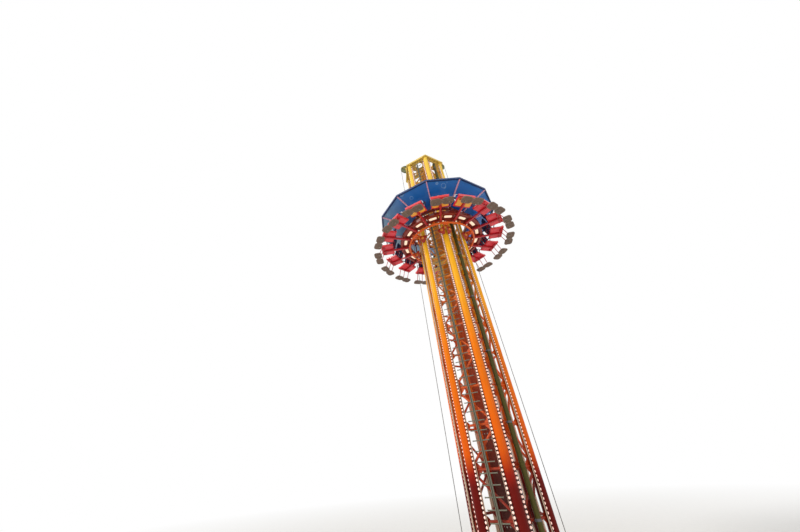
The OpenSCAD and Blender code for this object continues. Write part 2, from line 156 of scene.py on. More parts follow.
def fade(tree, value, low, high, lowOut=0.0, highOut=1.0):
    sockets = {"Value": value, "From Min": low, "From Max": high, "To Min": lowOut, "To Max": highOut}
    return addNode(tree, "ShaderNodeMapRange", sockets).outputs["Result"]


def layer(tree, base, colour, mask, low, high, most, kind="MIX"):  # colour over base where the mask is strong
    return mixTones(tree, fade(tree, mask, low, high, 0.0, most), base, colour, kind)


def placeOf(tree, stretch=(1, 1, 1)):
    where = addNode(tree, "ShaderNodeTexCoord").outputs["Object"]
    return addNode(tree, "ShaderNodeMapping", {"Vector": where, "Scale": stretch}).outputs["Vector"]


def partOf(tree, axis):
    return addNode(tree, "ShaderNodeSeparateXYZ", {0: placeOf(tree)}).outputs[axis]


def distanceOf(tree, stretch=(1, 1, 1)):
    sockets = {0: placeOf(tree, stretch)}
    return addNode(tree, "ShaderNodeVectorMath", sockets, operation="LENGTH").outputs["Value"]


def cloud(tree, scale, detail=3.0, roughness=0.5, stretch=(1, 1, 1)):
    sockets = {"Vector": placeOf(tree, stretch), "Scale": scale, "Detail": detail, "Roughness": roughness}
    return addNode(tree, "ShaderNodeTexNoise", sockets).outputs["Fac"]


def cells(tree, scale, randomness=1.0, stretch=(1, 1, 1)):
    sockets = {"Vector": placeOf(tree, stretch), "Scale": scale, "Randomness": randomness}
    return addNode(tree, "ShaderNodeTexVoronoi", sockets).outputs


finishes = {}


def startMaterial(name):
    finishes[name] = bpy.data.materials.new(name)
    finishes[name].use_nodes = True
    return finishes[name].node_tree


def endMaterial(tree, height, depth, sockets):  # bump from a height, then the shader's own sockets
    bump = addNode(tree, "ShaderNodeBump", {"Height": height, "Distance": depth, "Strength": 1.0})
    setSockets(tree, tree.nodes["Principled BSDF"], {"Normal": bump.outputs["Normal"], **sockets})


def heightTones(tree, stops):  # a colour that follows the height above the ground, in metres
    lowest, highest = stops[0][0], stops[-1][0]
    ripple = maths(tree, "MULTIPLY_ADD", cloud(tree, 1.7), 0.3, -0.15)
    height = maths(tree, "ADD", partOf(tree, "Z"), ripple)
    node = addNode(tree, "ShaderNodeValToRGB", {"Fac": fade(tree, height, lowest, highest)})
    ramp = node.color_ramp
    while len(ramp.elements) < len(stops):
        ramp.elements.new(0.5)
    for element, (z, colour) in zip(ramp.elements, stops):
        element.position = (z - lowest) / (highest - lowest)
        element.color = tone(*colour)
    return node.outputs["Color"]


# Gloss paint on steel: slow shade changes, grime that runs down, chipped flecks and orange peel
def paintedSteel(name, colour, rough=0.36, grime=0.35, chips=0.5, coat=0.15, under=(92, 70, 58), gloss=0.4):
    tree = startMaterial(name)
    base = heightTones(tree, colour) if isinstance(colour, list) else colour
    runs = cloud(tree, 3.0, 5.0, 0.6, (7, 7, 0.5))
    chipMask = fade(tree, cloud(tree, 26.0, 6.0, 0.62), 0.69, 0.73, 0.0, chips)
    shaded = layer(tree, base, (24, 16, 12), cloud(tree, 0.9, 4.0), 0.3, 0.7, 0.16, "MULTIPLY")
    dirty = layer(tree, shaded, (48, 34, 24), runs, 0.55, 0.82, grime)
    peel = maths(tree, "MULTIPLY", cloud(tree, 90.0, 2.0), 0.25)
    endMaterial(tree, maths(tree, "SUBTRACT", peel, chipMask), 0.0012, {
        "Base Color": mixTones(tree, chipMask, dirty, under),
        "Roughness": fade(tree, runs, 0.3, 0.8, rough - 0.07, rough + 0.22),
        "Specular IOR Level": gloss,
        "Coat Weight": coat,
        "Coat Roughness": 0.14,
    })


# Metal without paint: fine lines along the grain, dull stretches and brown stains
def bareMetal(name, colour, rough=0.3, grain=(60, 60, 3), metal=1.0, dull=(96, 92, 86)):
    tree = startMaterial(name)
    lines, stain = cloud(tree, 6.0, 4.0, 0.6, grain), cloud(tree, 5.0, 5.0, 0.6)
    base = layer(tree, colour, dull, lines, 0.3, 0.7, 0.5)
    endMaterial(tree, lines, 0.0006, {
        "Base Color": layer(tree, base, (70, 58, 46), stain, 0.5, 0.8, 0.5),
        "Roughness": fade(tree, stain, 0.3, 0.8, rough - 0.06, rough + 0.25),
        "Metallic": metal,
    })


# Wire rope: strands laid at a slant round the rope, with grease between them
def wireRope(name, colour):
    tree = startMaterial(name)
    sockets = {"Vector": placeOf(tree, (26, 26, 26)), "Scale": 1.0, "Distortion": 0.6, "Detail": 1.0}
    wave = addNode(tree, "ShaderNodeTexWave", sockets, bands_direction="DIAGONAL", wave_profile="SIN")
    strands, grease = wave.outputs["Fac"], cloud(tree, 8.0, 5.0)
    base = mixTones(tree, strands, (42, 38, 34), colour)
    endMaterial(tree, strands, 0.003, {
        "Base Color": layer(tree, base, (38, 32, 26), grease, 0.5, 0.75, 0.6),
        "Roughness": fade(tree, grease, 0.3, 0.8, 0.34, 0.62),
        "Metallic": 0.8,
    })


# Moulded gelcoat: deep gloss, faint mottling, fine scuffs and dust in the hollows
def gelcoat(name, colour, shade, rough=0.22, coat=0.6):
    tree = startMaterial(name)
    scuffs = cloud(tree, 3.5, 6.0, 0.7, (30, 4, 4))
    base = layer(tree, colour, shade, cloud(tree, 2.2, 4.0), 0.35, 0.65, 0.45)
    endMaterial(tree, cloud(tree, 45.0), 0.0008, {
        "Base Color": layer(tree, base, (222, 196, 186), scuffs, 0.62, 0.8, 0.35),
        "Roughness": fade(tree, scuffs, 0.35, 0.75, rough, rough + 0.3),
        "Coat Weight": coat,
        "Coat Roughness": 0.08,
    })


# Leathercloth with a pebbled grain, for pads and grips
def leathercloth(name, colour, worn, rough=0.55):
    tree = startMaterial(name)
    pebbles, rub = cells(tree, 160.0)["Distance"], cloud(tree, 6.0, 5.0, 0.6)
    base = layer(tree, colour, worn, rub, 0.5, 0.75, 0.55)
    endMaterial(tree, pebbles, -0.0014, {
        "Base Color": layer(tree, base, (4, 5, 9), pebbles, 0.3, 0.7, 0.35),
        "Roughness": fade(tree, rub, 0.3, 0.75, rough, rough - 0.2),
        "Sheen Weight": 0.15,
    })


# Moulded plastic or rubber with a fine texture and pale scuffs from shoes
def mouldedPlastic(name, colour, scuff, rough=0.5, scuffing=0.5):
    tree = startMaterial(name)
    rub = cloud(tree, 2.4, 6.0, 0.65, (5, 5, 5))
    base = layer(tree, colour, (60, 50, 44), cloud(tree, 1.1), 0.35, 0.7, 0.3)
    endMaterial(tree, cloud(tree, 210.0, 2.0), 0.0008, {
        "Base Color": layer(tree, base, scuff, rub, 0.55, 0.78, scuffing),
        "Roughness": fade(tree, rub, 0.35, 0.75, rough, rough + 0.25),
    })


# Canopy panels: deep blue with soft pale rings, and painted light: grey-teal towards -X, standing for sun on
# that side
def canopySkin(name, colour, deep, ring, paintedSunSide):
    tree = startMaterial(name)
    spots = cells(tree, 2.1, 0.9, (1, 1, 0))
    size = addNode(tree, "ShaderNodeSeparateColor", {0: spots["Color"]}).outputs[0]
    away = maths(tree, "SUBTRACT", spots["Distance"], fade(tree, size, 0, 1, 0.07, 0.24))
    outline = fade(tree, maths(tree, "ABSOLUTE", away), 0.0, 0.05, 1.0, 0.0)
    patchy = fade(tree, cloud(tree, 1.3, 2.0), 0.4, 0.56)
    rings = maths(tree, "MULTIPLY", maths(tree, "MULTIPLY", outline, patchy), 0.6)
    blue = mixTones(tree, fade(tree, distanceOf(tree, (1, 1, 0)), 1.5, 3.0), deep, colour)
    # painted light: the panels turn grey-teal towards -X, as if lit by the sun there
    base = layer(tree, blue, paintedSunSide, partOf(tree, "X"), -0.2, -2.6, 0.9)
    haze = cloud(tree, 0.7, 5.0, 0.6)
    dusty = layer(tree, base, (84, 126, 160), haze, 0.45, 0.75, 0.25)
    endMaterial(tree, cloud(tree, 60.0), 0.0008, {
        "Base Color": mixTones(tree, rings, dusty, ring),
        "Roughness": fade(tree, haze, 0.3, 0.7, 0.32, 0.5),
        "Coat Weight": 0.2,
    })


# Lamps and beads give a little of their own light, behind a ribbed diffuser
def lampGlass(name, colour, strength, ribs=40.0):
    tree = startMaterial(name)
    grain = cells(tree, ribs)["Distance"]
    glow = layer(tree, colour, (255, 246, 236), grain, 0.3, 0.7, 0.4)
    endMaterial(tree, grain, 0.004, {
        "Base Color": glow,
        "Emission Color": glow,
        "Emission Strength": strength,
        "Roughness": 0.18,
    })


# Tones by height in metres, part paint colour and part painted light and shade, then every finish under the
# name that the pieces use
# Column and brace tones: red through orange to yellow paint, with painted shade in the sharp darkening below
# about 3.5 m and painted light in the pale, bright top
columnPaintWithPaintedLight = [(0.0, (86, 4, 0)), (2.8, (106, 8, 0)), (3.1, (152, 24, 0)), (3.6, (226, 92, 0)),
               (6.8, (240, 124, 0)), (8.6, (250, 168, 22)), (11.0, (254, 188, 30)), (17.9, (255, 212, 84))]
bracePaintWithPaintedLight = [(0.0, (110, 26, 12)), (3.0, (160, 44, 12)), (4.0, (220, 84, 16)), (8.0, (226, 98, 18)),
              (10.5, (240, 146, 30)), (17.9, (246, 176, 60))]
# Mast tones: one reddish-brown paint, with painted shade at the foot and painted light growing up the mast
mastPaintedLightTones = [(0.0, (64, 20, 12)), (3.0, (98, 30, 14)), (4.6, (166, 60, 16)), (8.0, (196, 84, 20)),
             (10.5, (222, 132, 32)), (17.9, (230, 156, 60))]
paintedSteel("base_grey", (92, 92, 96), rough=0.5, coat=0.05)
paintedSteel("tower_paint", columnPaintWithPaintedLight, grime=0.16, chips=0.3, coat=0.04, gloss=0.12)
paintedSteel("brace_paint", bracePaintWithPaintedLight, rough=0.4, grime=0.4)
paintedSteel("rail_cream", (226, 196, 168), rough=0.42, grime=0.45, coat=0.1)
paintedSteel("ladder_grey", (116, 114, 96), rough=0.5, grime=0.4, coat=0.05, under=(160, 158, 150))
paintedSteel("duct_olive", (72, 66, 10), rough=0.5, grime=0.5, coat=0.03, under=(112, 106, 70), gloss=0.25)
paintedSteel("mast_brown", mastPaintedLightTones, rough=0.46, grime=0.45, coat=0.1)
paintedSteel("plate_yellow", (240, 208, 104), rough=0.4, grime=0.3)
bareMetal("sheave_olive", (118, 122, 84), rough=0.45, metal=0.5, dull=(86, 90, 62))
wireRope("rope_steel", (150, 148, 144))
paintedSteel("guide_orange", (242, 102, 16), rough=0.34, grime=0.2)
mouldedPlastic("roller_amber", (238, 150, 52), (250, 206, 140), rough=0.34)
paintedSteel("carriage_maroon", (146, 44, 26), rough=0.34, grime=0.3, coat=0.25)
paintedSteel("arm_crimson", (196, 36, 48), rough=0.3, grime=0.2, coat=0.3)
gelcoat("seat_red", (230, 30, 36), (196, 18, 38))
gelcoat("back_navy", (20, 38, 92), (10, 20, 54), rough=0.34, coat=0.25)
bareMetal("bar_steel", (206, 206, 208), rough=0.2, dull=(176, 176, 178))
mouldedPlastic("foot_brown", (124, 102, 88), (168, 150, 134))
paintedSteel("rib_pink", (255, 190, 210), rough=0.34, grime=0.15, chips=0.2)
canopySkin("canopy_blue", (20, 126, 212), (12, 90, 188), (164, 212, 240), (138, 180, 194))
paintedSteel("rim_navy", (24, 62, 116), rough=0.38, grime=0.2, chips=0.3)
leathercloth("padNavy", (14, 26, 70), (36, 52, 100))
leathercloth("gripBlack", (24, 24, 26), (52, 50, 50))
mouldedPlastic("rubberBlack", (30, 28, 27), (86, 80, 74), rough=0.65, scuffing=0.35)
# painted warm light: this amber stands for lamp light reflected off the front three seats' underside panels
gelcoat("insetAmberPaintedLight", (255, 182, 62), (248, 148, 40), rough=0.26, coat=0.3)
gelcoat("insetCrimson", (240, 60, 74), (216, 40, 60), rough=0.26, coat=0.3)
# painted shade: orange paint darkened to the mix of lit and shaded sides that the cups show from below
paintedSteel("cupOrangePaintedShade", (176, 48, 10), rough=0.4, grime=0.3, coat=0.1)
paintedSteel("channelBrown", (58, 20, 14), rough=0.5, coat=0.05)
lampGlass("beadGlow", (255, 206, 188), 0.45)
lampGlass("panelGlow", (252, 226, 190), 0.5, 55.0)
bareMetal("boltZinc", (190, 188, 180), rough=0.34, grain=(20, 20, 20))

for part in frame["record"]["subparts"]:
    mesh = frame["nodes"][part["node"]].data
    mesh.materials.clear()
    mesh.materials.append(finishes[part["material_slot"]])
print("materials made,", len(bpy.data.materials))


# Building blocks: each adds a closed shape to a bmesh, in the ride's own metres
def at(angle=0.0, r=0.0, t=0.0, z=0.0, lean=0.0):  # degrees round the axis, then out, sideways and up
    place = Matrix.Rotation(math.radians(angle), 4, "Z") @ Matrix.Translation((r, t, z))
    return place @ Matrix.Rotation(math.radians(lean), 4, "Y")


upright = Matrix.Rotation(math.pi / 2, 4, "X")  # stands an outline up: its X stays out and its Y turns up
facing = Matrix(((0, 0, 1, 0), (1, 0, 0, 0), (0, 1, 0, 0), (0, 0, 0, 1)))  # its X sideways, its Y up


def sideways(side):  # lays a turned shape down, so that it grows to one side
    return Matrix.Rotation(-side * math.pi / 2, 4, "X")


def squareLoop(width, depth, power=5.0, steps=32):  # a rectangle with soft corners, softer for a low power
    loop = []
    for i in range(steps):
        turn = math.tau * (i + 0.5) / steps
        c, s = math.cos(turn), math.sin(turn)
        loop.append((width / 2 * math.copysign(abs(c) ** (2 / power), c),
                     depth / 2 * math.copysign(abs(s) ** (2 / power), s)))
    return loop


def mirrored(half, middle=()):  # the upper half of an outline or profile, with its lower half before it
    return [(x, -y) for x, y in half[::-1]] + [*middle] + half


def circleLoop(radius, steps=24):
    turns = [math.tau * i / steps for i in range(steps)]
    return [(radius * math.cos(turn), radius * math.sin(turn)) for turn in turns]


def joinRings(shape, rings):
    for low, high in zip(rings, rings[1:]):
        for i in range(len(low)):
            shape.faces.new((low[i - 1], low[i], high[i], high[i - 1]))


def addLoft(shape, place, levels):  # levels are (loop, height) pairs, capped at both ends
    rings = [[shape.verts.new(place @ Vector((x, y, z))) for x, y in loop] for loop, z in levels]
    joinRings(shape, rings)
    shape.faces.new(rings[0][::-1])
    shape.faces.new(rings[-1])


def addBox(shape, place, size, bevel=0.003):
    made = bmesh.ops.create_cube(shape, size=1.0, matrix=place @ Matrix.Diagonal((*size, 1.0)))
    if bevel:
        edges = list(dict.fromkeys(edge for vert in made["verts"] for edge in vert.link_edges))
        bmesh.ops.bevel(shape, geom=edges, offset=bevel, segments=1, affect="EDGES")


def addPlate(shape, place, outline, thickness):
    addLoft(shape, place, [(outline, -thickness / 2), (outline, thickness / 2)])


def addTurned(shape, place, profile, steps=24):  # profile is (radius, height) pairs, capped at both ends
    addLoft(shape, place, [(circleLoop(radius, steps), height) for radius, height in profile])


def addRod(shape, start, end, radius, steps=12):
    along = Vector(end) - Vector(start)
    place = Matrix.Translation(start) @ along.to_track_quat("Z", "Y").to_matrix().to_4x4()
    addTurned(shape, place, [(radius, 0), (radius, along.length)], steps)


def addHoop(shape, radius, z, section, steps=96):  # a ring round the tower's axis; section is (out, up) pairs
    rings = []
    for i in range(steps):
        place = at(360 * i / steps, radius, 0, z)
        rings.append([shape.verts.new(place @ Vector((x, 0, y))) for x, y in section])
    joinRings(shape, rings + rings[:1])


def rimOf(grid):  # the border of a grid of vertices, as one loop
    return grid[0] + [row[-1] for row in grid[1:-1]] + grid[-1][::-1] + [row[0] for row in grid[-2:0:-1]]


def toMesh(shape, name):
    bmesh.ops.recalc_face_normals(shape, faces=shape.faces)
    mesh = bpy.data.meshes.new(name)
    shape.to_mesh(mesh)
    shape.free()
    return mesh


# Geometry Nodes: trees with named sizes, each ending in real mesh with its finish on it
def startNodes(name, sizes):
    tree = bpy.data.node_groups.new(name, "GeometryNodeTree")
    tree.is_modifier = True
    tree.interface.new_socket("Geometry", in_out="OUTPUT", socket_type="NodeSocketGeometry")
    for label, kind in {"Geometry": "Geometry", **sizes, "Finish": "Material"}.items():
        tree.interface.new_socket(label, in_out="INPUT", socket_type="NodeSocket" + kind)
    return tree, addNode(tree, "NodeGroupInput").outputs


def upBy(tree, height):
    return addNode(tree, "ShaderNodeCombineXYZ", {"Z": height}).outputs[0]


def endNodes(tree, ask, points, instance, rotation, scale=(1, 1, 1)):  # one copy on each point
    sockets = {"Points": points, "Instance": instance, "Rotation": rotation, "Scale": scale}
    copies = addNode(tree, "GeometryNodeInstanceOnPoints", sockets).outputs[0]
    solid = addNode(tree, "GeometryNodeRealizeInstances", {0: copies}).outputs[0]
    dressed = addNode(tree, "GeometryNodeSetMaterial", {"Geometry": solid, "Material": ask["Finish"]})
    addNode(tree, "NodeGroupOutput", {0: dressed.outputs[0]})
    return tree


def copiesTree():
    sizes = {"Count": "Int", "Rows": "Int", "Start": "Float", "Turn": "Float", "Row Step": "Float"}
    tree, ask = startNodes("copiesRoundTheTower", sizes)
    index = addNode(tree, "GeometryNodeInputIndex").outputs[0]
    which = maths(tree, "MODULO", index, ask["Count"])
    row = maths(tree, "FLOOR", maths(tree, "DIVIDE", index, ask["Count"]))
    total = maths(tree, "MULTIPLY", ask["Count"], ask["Rows"])
    line = addNode(tree, "GeometryNodeMeshLine", {"Count": total, "Offset": (0, 0, 0)}).outputs[0]
    lift = upBy(tree, maths(tree, "MULTIPLY", row, ask["Row Step"]))
    points = addNode(tree, "GeometryNodeSetPosition", {"Geometry": line, "Offset": lift}).outputs[0]
    spin = upBy(tree, maths(tree, "ADD", maths(tree, "MULTIPLY", which, ask["Turn"]), ask["Start"]))
    return endNodes(tree, ask, points, ask["Geometry"], spin)


def boltTree():  # a washer, a six-sided head and the end of the thread, all sized by the head
    tree, ask = startNodes("boltsOnPoints", {"Head": "Float"})
    joined = addNode(tree, "GeometryNodeJoinGeometry")
    for sides, radius, depth, rise in ((14, 0.98, 0.16, 0.08), (6, 0.6, 0.6, 0.44), (8, 0.3, 0.4, 0.85)):
        wide, deep, high = (maths(tree, "MULTIPLY", ask["Head"], size) for size in (radius, depth, rise))
        drum = addNode(tree, "GeometryNodeMeshCylinder", {"Vertices": sides, "Radius": wide, "Depth": deep})
        sockets = {"Geometry": drum.outputs["Mesh"], "Translation": upBy(tree, high)}
        tree.links.new(addNode(tree, "GeometryNodeTransform", sockets).outputs[0], joined.inputs[0])
    aim = addNode(tree, "GeometryNodeInputNamedAttribute", {"Name": "aim"}, data_type="FLOAT_VECTOR")
    turn = addNode(tree, "FunctionNodeAlignRotationToVector", {"Vector": aim.outputs[0]}, axis="Z")
    return endNodes(tree, ask, ask["Geometry"], joined.outputs[0], turn.outputs[0])


def beadTree():  # two upright rows of slightly flattened beads, one on each side
    sizes = {"Count": "Int", "Step": "Float", "Radius": "Float", "Side": "Float", "Forward": "Float",
             "Bottom": "Float"}
    tree, ask = startNodes("beadsOnRails", sizes)
    both = addNode(tree, "GeometryNodeJoinGeometry")
    for sign in (1.0, -1.0):
        across = maths(tree, "MULTIPLY", ask["Side"], sign)
        foot = addNode(tree, "ShaderNodeCombineXYZ", {"X": ask["Forward"], "Y": across, "Z": ask["Bottom"]})
        line = addNode(tree, "GeometryNodeMeshLine", {
            "Count": ask["Count"], "Start Location": foot.outputs[0], "Offset": upBy(tree, ask["Step"])})
        tree.links.new(line.outputs[0], both.inputs[0])
    bead = addNode(tree, "GeometryNodeMeshUVSphere", {"Segments": 8, "Rings": 4, "Radius": ask["Radius"]})
    return endNodes(tree, ask, both.outputs[0], bead.outputs[0], (0, math.pi / 2, 0), (1, 1, 0.9))


trees = {"copies": copiesTree(), "bolts": boltTree(), "beads": beadTree()}


def growMesh(name, tree, mesh, values):  # the source mesh stays, for the next piece made from it
    holder = newObject(name + "Source", mesh)
    modifier = holder.modifiers.new(name, "NODES")
    modifier.node_group = trees[tree]
    for item in trees[tree].interface.items_tree:
        if item.in_out == "INPUT" and item.name in values:
            modifier[item.identifier] = values[item.name]
    grown = bpy.data.meshes.new_from_object(holder.evaluated_get(bpy.context.evaluated_depsgraph_get()))
    holder.modifiers.clear()
    bpy.data.objects.remove(holder)
    grown.name = name
    return grown


def settle(name, mesh, body, finish, sharp=38, replaced=()):  # edges over sharp degrees stay crisp
    mesh.shade_smooth()
    mesh.set_sharp_from_angle(angle=math.radians(sharp))
    piece = newObject(name, mesh)
    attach(piece, body)
    if replaced:
        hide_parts(*replaced)
    return piece


def plainPiece(name, shape, body, finish, **rest):
    mesh = toMesh(shape, name)
    mesh.materials.append(finishes[finish])
    return settle(name, mesh, body, finish, **rest)


def copyRound(name, shape, body, finish, count, start=0.0, turn=None, rows=1, rowStep=0.0, **rest):
    mesh = shape if isinstance(shape, bpy.types.Mesh) else toMesh(shape, name)
    values = {"Count": count, "Rows": rows, "Start": math.radians(start), "Row Step": float(rowStep),
              "Turn": math.radians(turn or 360 / count), "Finish": finishes[finish]}
    return settle(name, growMesh(name, "copies", mesh, values), body, finish, **rest)


def spot(place, aim=(0, 0, 1)):  # where a bolt stands, and the way its head points
    return place.translation, place.to_3x3() @ Vector(aim)


def boltsOn(name, body, head, spots):
    points = bpy.data.meshes.new(name + "Points")
    points.from_pydata([tuple(place) for place, aim in spots], [], [])
    aims = points.attributes.new("aim", "FLOAT_VECTOR", "POINT")
    for row, (place, aim) in zip(aims.data, spots):
        row.vector = aim
    values = {"Head": head, "Finish": finishes["boltZinc"]}
    return settle(name, growMesh(name, "bolts", points, values), body, "boltZinc")


# Lamps: rows of beads up both rails of every column, on a dark channel with a lip along each edge
beadRows = {"step": 0.095, "radius": 0.033, "side": 0.1715, "channelWidth": 0.07, "channelDepth": 0.006,
            "lipDepth": 0.014, "lipWidth": 0.005, "railFront": 0.0037, "railEnd": 0.05, "beadEnd": 0.04}


def buildBeadRows(spec):
    face, deep = tower["columnRing"] + spec["railFront"], spec["channelDepth"]
    low, high = tower["railBottom"] + spec["railEnd"], tower["railTop"] - spec["railEnd"]
    middle, length = (low + high) / 2, high - low
    channel = bmesh.new()
    for side in (-1, 1):
        across = side * spec["side"]
        addBox(channel, at(0, face + deep / 2, across, middle), (deep, spec["channelWidth"], length), 0.0015)
        for edge in (-1, 1):
            addBox(channel, at(0, face + deep, across + edge * spec["channelWidth"] / 2, middle),
                   (spec["lipDepth"], spec["lipWidth"], length), 0)
    copyRound("beadChannels", channel, "tower", "channelBrown", columns)
    count = int((length - 2 * spec["beadEnd"]) / spec["step"])
    row = growMesh("beadRow", "beads", bpy.data.meshes.new("beadRow"), {
        "Count": count, "Step": spec["step"], "Radius": spec["radius"], "Side": spec["side"],
        "Forward": face + deep, "Bottom": low + spec["beadEnd"], "Finish": finishes["beadGlow"]})
    copyRound("lampBeads", row, "tower", "beadGlow", columns, sharp=80)


buildBeadRows(beadRows)
print("lamp rows made")


# Gussets join ties and diagonals to the columns, large where two diagonals meet
gussets = {"large": 0.2, "small": 0.11, "reach": 0.2, "shortReach": 0.12, "shoulder": 0.05, "bite": 0.004,
           "thickness": 0.014}


def buildGussets(spec):
    shape = bmesh.new()
    near, shoulder = tower["columnRing"] / 2 - tower["columnRadius"] + spec["bite"], spec["shoulder"]
    for face in range(columns):
        for level in range(1, tower["braceSteps"] + 1):
            z = tower["braceStart"] + level * tower["braceStep"]
            busy = 1 if (level - 1 + face) % 2 == 0 else -1
            for side in (-1, 1):
                high = spec["large"] if side == busy and level < tower["braceSteps"] else spec["small"]
                far = near - (spec["reach"] if side == busy else spec["shortReach"])
                half = [(side * far, shoulder), (side * (near - shoulder), high), (side * near, high)]
                place = at(columnTurn * (face + 0.5), tower["faceRadius"], 0, z) @ facing
                addPlate(shape, place, mirrored(half), spec["thickness"])
    plainPiece("braceGussets", shape, "tower", "brace_paint")


buildGussets(gussets)


# Columns: bolted feet with stiffeners, welded section joints, and nuts on the foundation bolts
columnTrim = {"footBolts": 12, "boltRing": 0.168, "stiffeners": 6, "stiffenerHeight": 0.2, "flange": 0.062,
              "bite": 0.004, "weld": 0.007, "firstWeld": 0.53, "weldStep": 4.26, "welds": 4,
              "anchorOut": 0.25, "hubRing": 0.365, "anchorTop": 0.04}


def buildColumnTrim(spec):
    ring, radius, weld = tower["columnRing"], tower["columnRadius"], spec["weld"]
    inner, outer, rise = radius - spec["bite"], radius + spec["flange"], spec["stiffenerHeight"]
    outline = [(inner, 0), (outer, 0), (outer, 0.02), (radius + 0.012, rise), (inner, rise)]
    shape = bmesh.new()
    for i in range(spec["stiffeners"]):
        turn = 360 / spec["stiffeners"] * (i + 0.5)
        addPlate(shape, at(0, ring, 0, tower["footTop"]) @ at(turn) @ upright, outline, 0.012)
    copyRound("columnStiffeners", shape, "tower", "tower_paint", columns)
    half = [(radius + weld * 0.6, 0.008), (radius - 0.002, 0.012)]
    profile = mirrored(half, [(radius + weld, 0)])
    shape, first = bmesh.new(), tower["braceStart"] + spec["firstWeld"]
    for i in range(spec["welds"]):
        addTurned(shape, at(0, ring, 0, first + i * spec["weldStep"]), profile, 40)
    copyRound("columnWelds", shape, "tower", "tower_paint", columns)
    bolts, anchors, step = [], [], 360 / spec["footBolts"]
    for column in range(columns):
        foot = at(columnTurn * column, ring, 0, tower["footTop"])
        bolts += [spot(foot @ at(step * (i + 0.5), spec["boltRing"])) for i in range(spec["footBolts"])]
        anchors.append(spot(at(columnTurn * column, ring + spec["anchorOut"], 0, spec["anchorTop"])))
        anchors.append(spot(at(columnTurn * (column + 0.5), spec["hubRing"], 0, spec["anchorTop"])))
    boltsOn("columnBolts", "tower", 0.028, bolts)
    boltsOn("anchorNuts", "tower", 0.05, anchors)


buildColumnTrim(columnTrim)


# Ladder on the middle of the front side: slotted spine, round rungs with grip rings and knobs at their ends
ladderShape = {"turn": -90, "bottom": 0.4, "top": 17.6, "side": 0.07, "wall": 0.008, "rungRadius": 0.014,
               "rungReach": 0.25, "knob": 0.021, "gripRings": 5, "gripStart": 0.07, "gripStep": 0.022}


def buildLadder(spec):
    turn, ring, wide, wall = spec["turn"], tower["columnRing"], spec["side"], spec["wall"]
    half, middle, length = wide / 2, (spec["bottom"] + spec["top"]) / 2, spec["top"] - spec["bottom"]
    shape = bmesh.new()
    addBox(shape, at(turn, ring - half + wall / 2, 0, middle), (wall, wide, length), 0.002)
    for side in (-1, 1):
        addBox(shape, at(turn, ring, side * (half - wall / 2), middle), (wide - 0.002, wall, length), 0.002)
        lip = at(turn, ring + half - wall / 2, side * (half - 0.011), middle)
        addBox(shape, lip, (wall, 0.022, length), 0.002)
    addBox(shape, at(turn, ring - 0.005, 0, middle), (0.012, wide - 2 * wall, length - 0.1), 0)
    depth = ring - tower["faceRadius"] - 0.033
    for level in range(1, tower["braceSteps"] + 1, 2):
        z = tower["braceStart"] + level * tower["braceStep"]
        addBox(shape, at(turn, ring - depth / 2, 0, z), (depth, wide * 0.9, 0.014), 0.002)
        for side in (-1, 1):
            back = at(turn, ring - depth / 2 - half / 2, side * 0.03, z)
            addBox(shape, back, (depth - half, 0.01, 0.066), 0.002)
            addBox(shape, at(turn, ring, side * (half + 0.005), z + 0.14), (0.05, 0.008, 0.17), 0.002)
    plainPiece("ladderSpine", shape, "tower", "ladder_grey", replaced=["ladder"])
    radius, knob, start = spec["rungRadius"], spec["knob"], half * 0.8
    end = spec["rungReach"] - start
    profile = [(radius, 0), (radius, 0.03), (radius * 1.3, 0.032), (radius * 1.3, 0.044), (radius, 0.046)]
    for i in range(spec["gripRings"]):
        z, wider = spec["gripStart"] + i * spec["gripStep"], radius * 1.09
        profile += [(radius, z), (wider, z + 0.003), (wider, z + 0.009), (radius, z + 0.012)]
    profile += [(radius, end - 0.014), (knob, end - 0.01), (knob, end - 0.002), (knob * 0.8, end)]
    rung = bmesh.new()
    for side in (-1, 1):
        addTurned(rung, at(turn, ring, side * start, tower["rungStart"]) @ sideways(side), profile, 10)
    copyRound("ladderRungs", rung, "tower", "ladder_grey", 1, rows=tower["rungs"], rowStep=tower["rungStep"])


buildLadder(ladderShape)


# Cable duct: pipe couplings, clamp bands and a capped top with two glands
ductTrim = {"turn": -30, "radius": 0.07, "forward": 0.125, "along": -0.07, "couplings": 8,
            "firstCoupling": 1.1, "couplingStep": 2.13, "capHeight": 17.34}


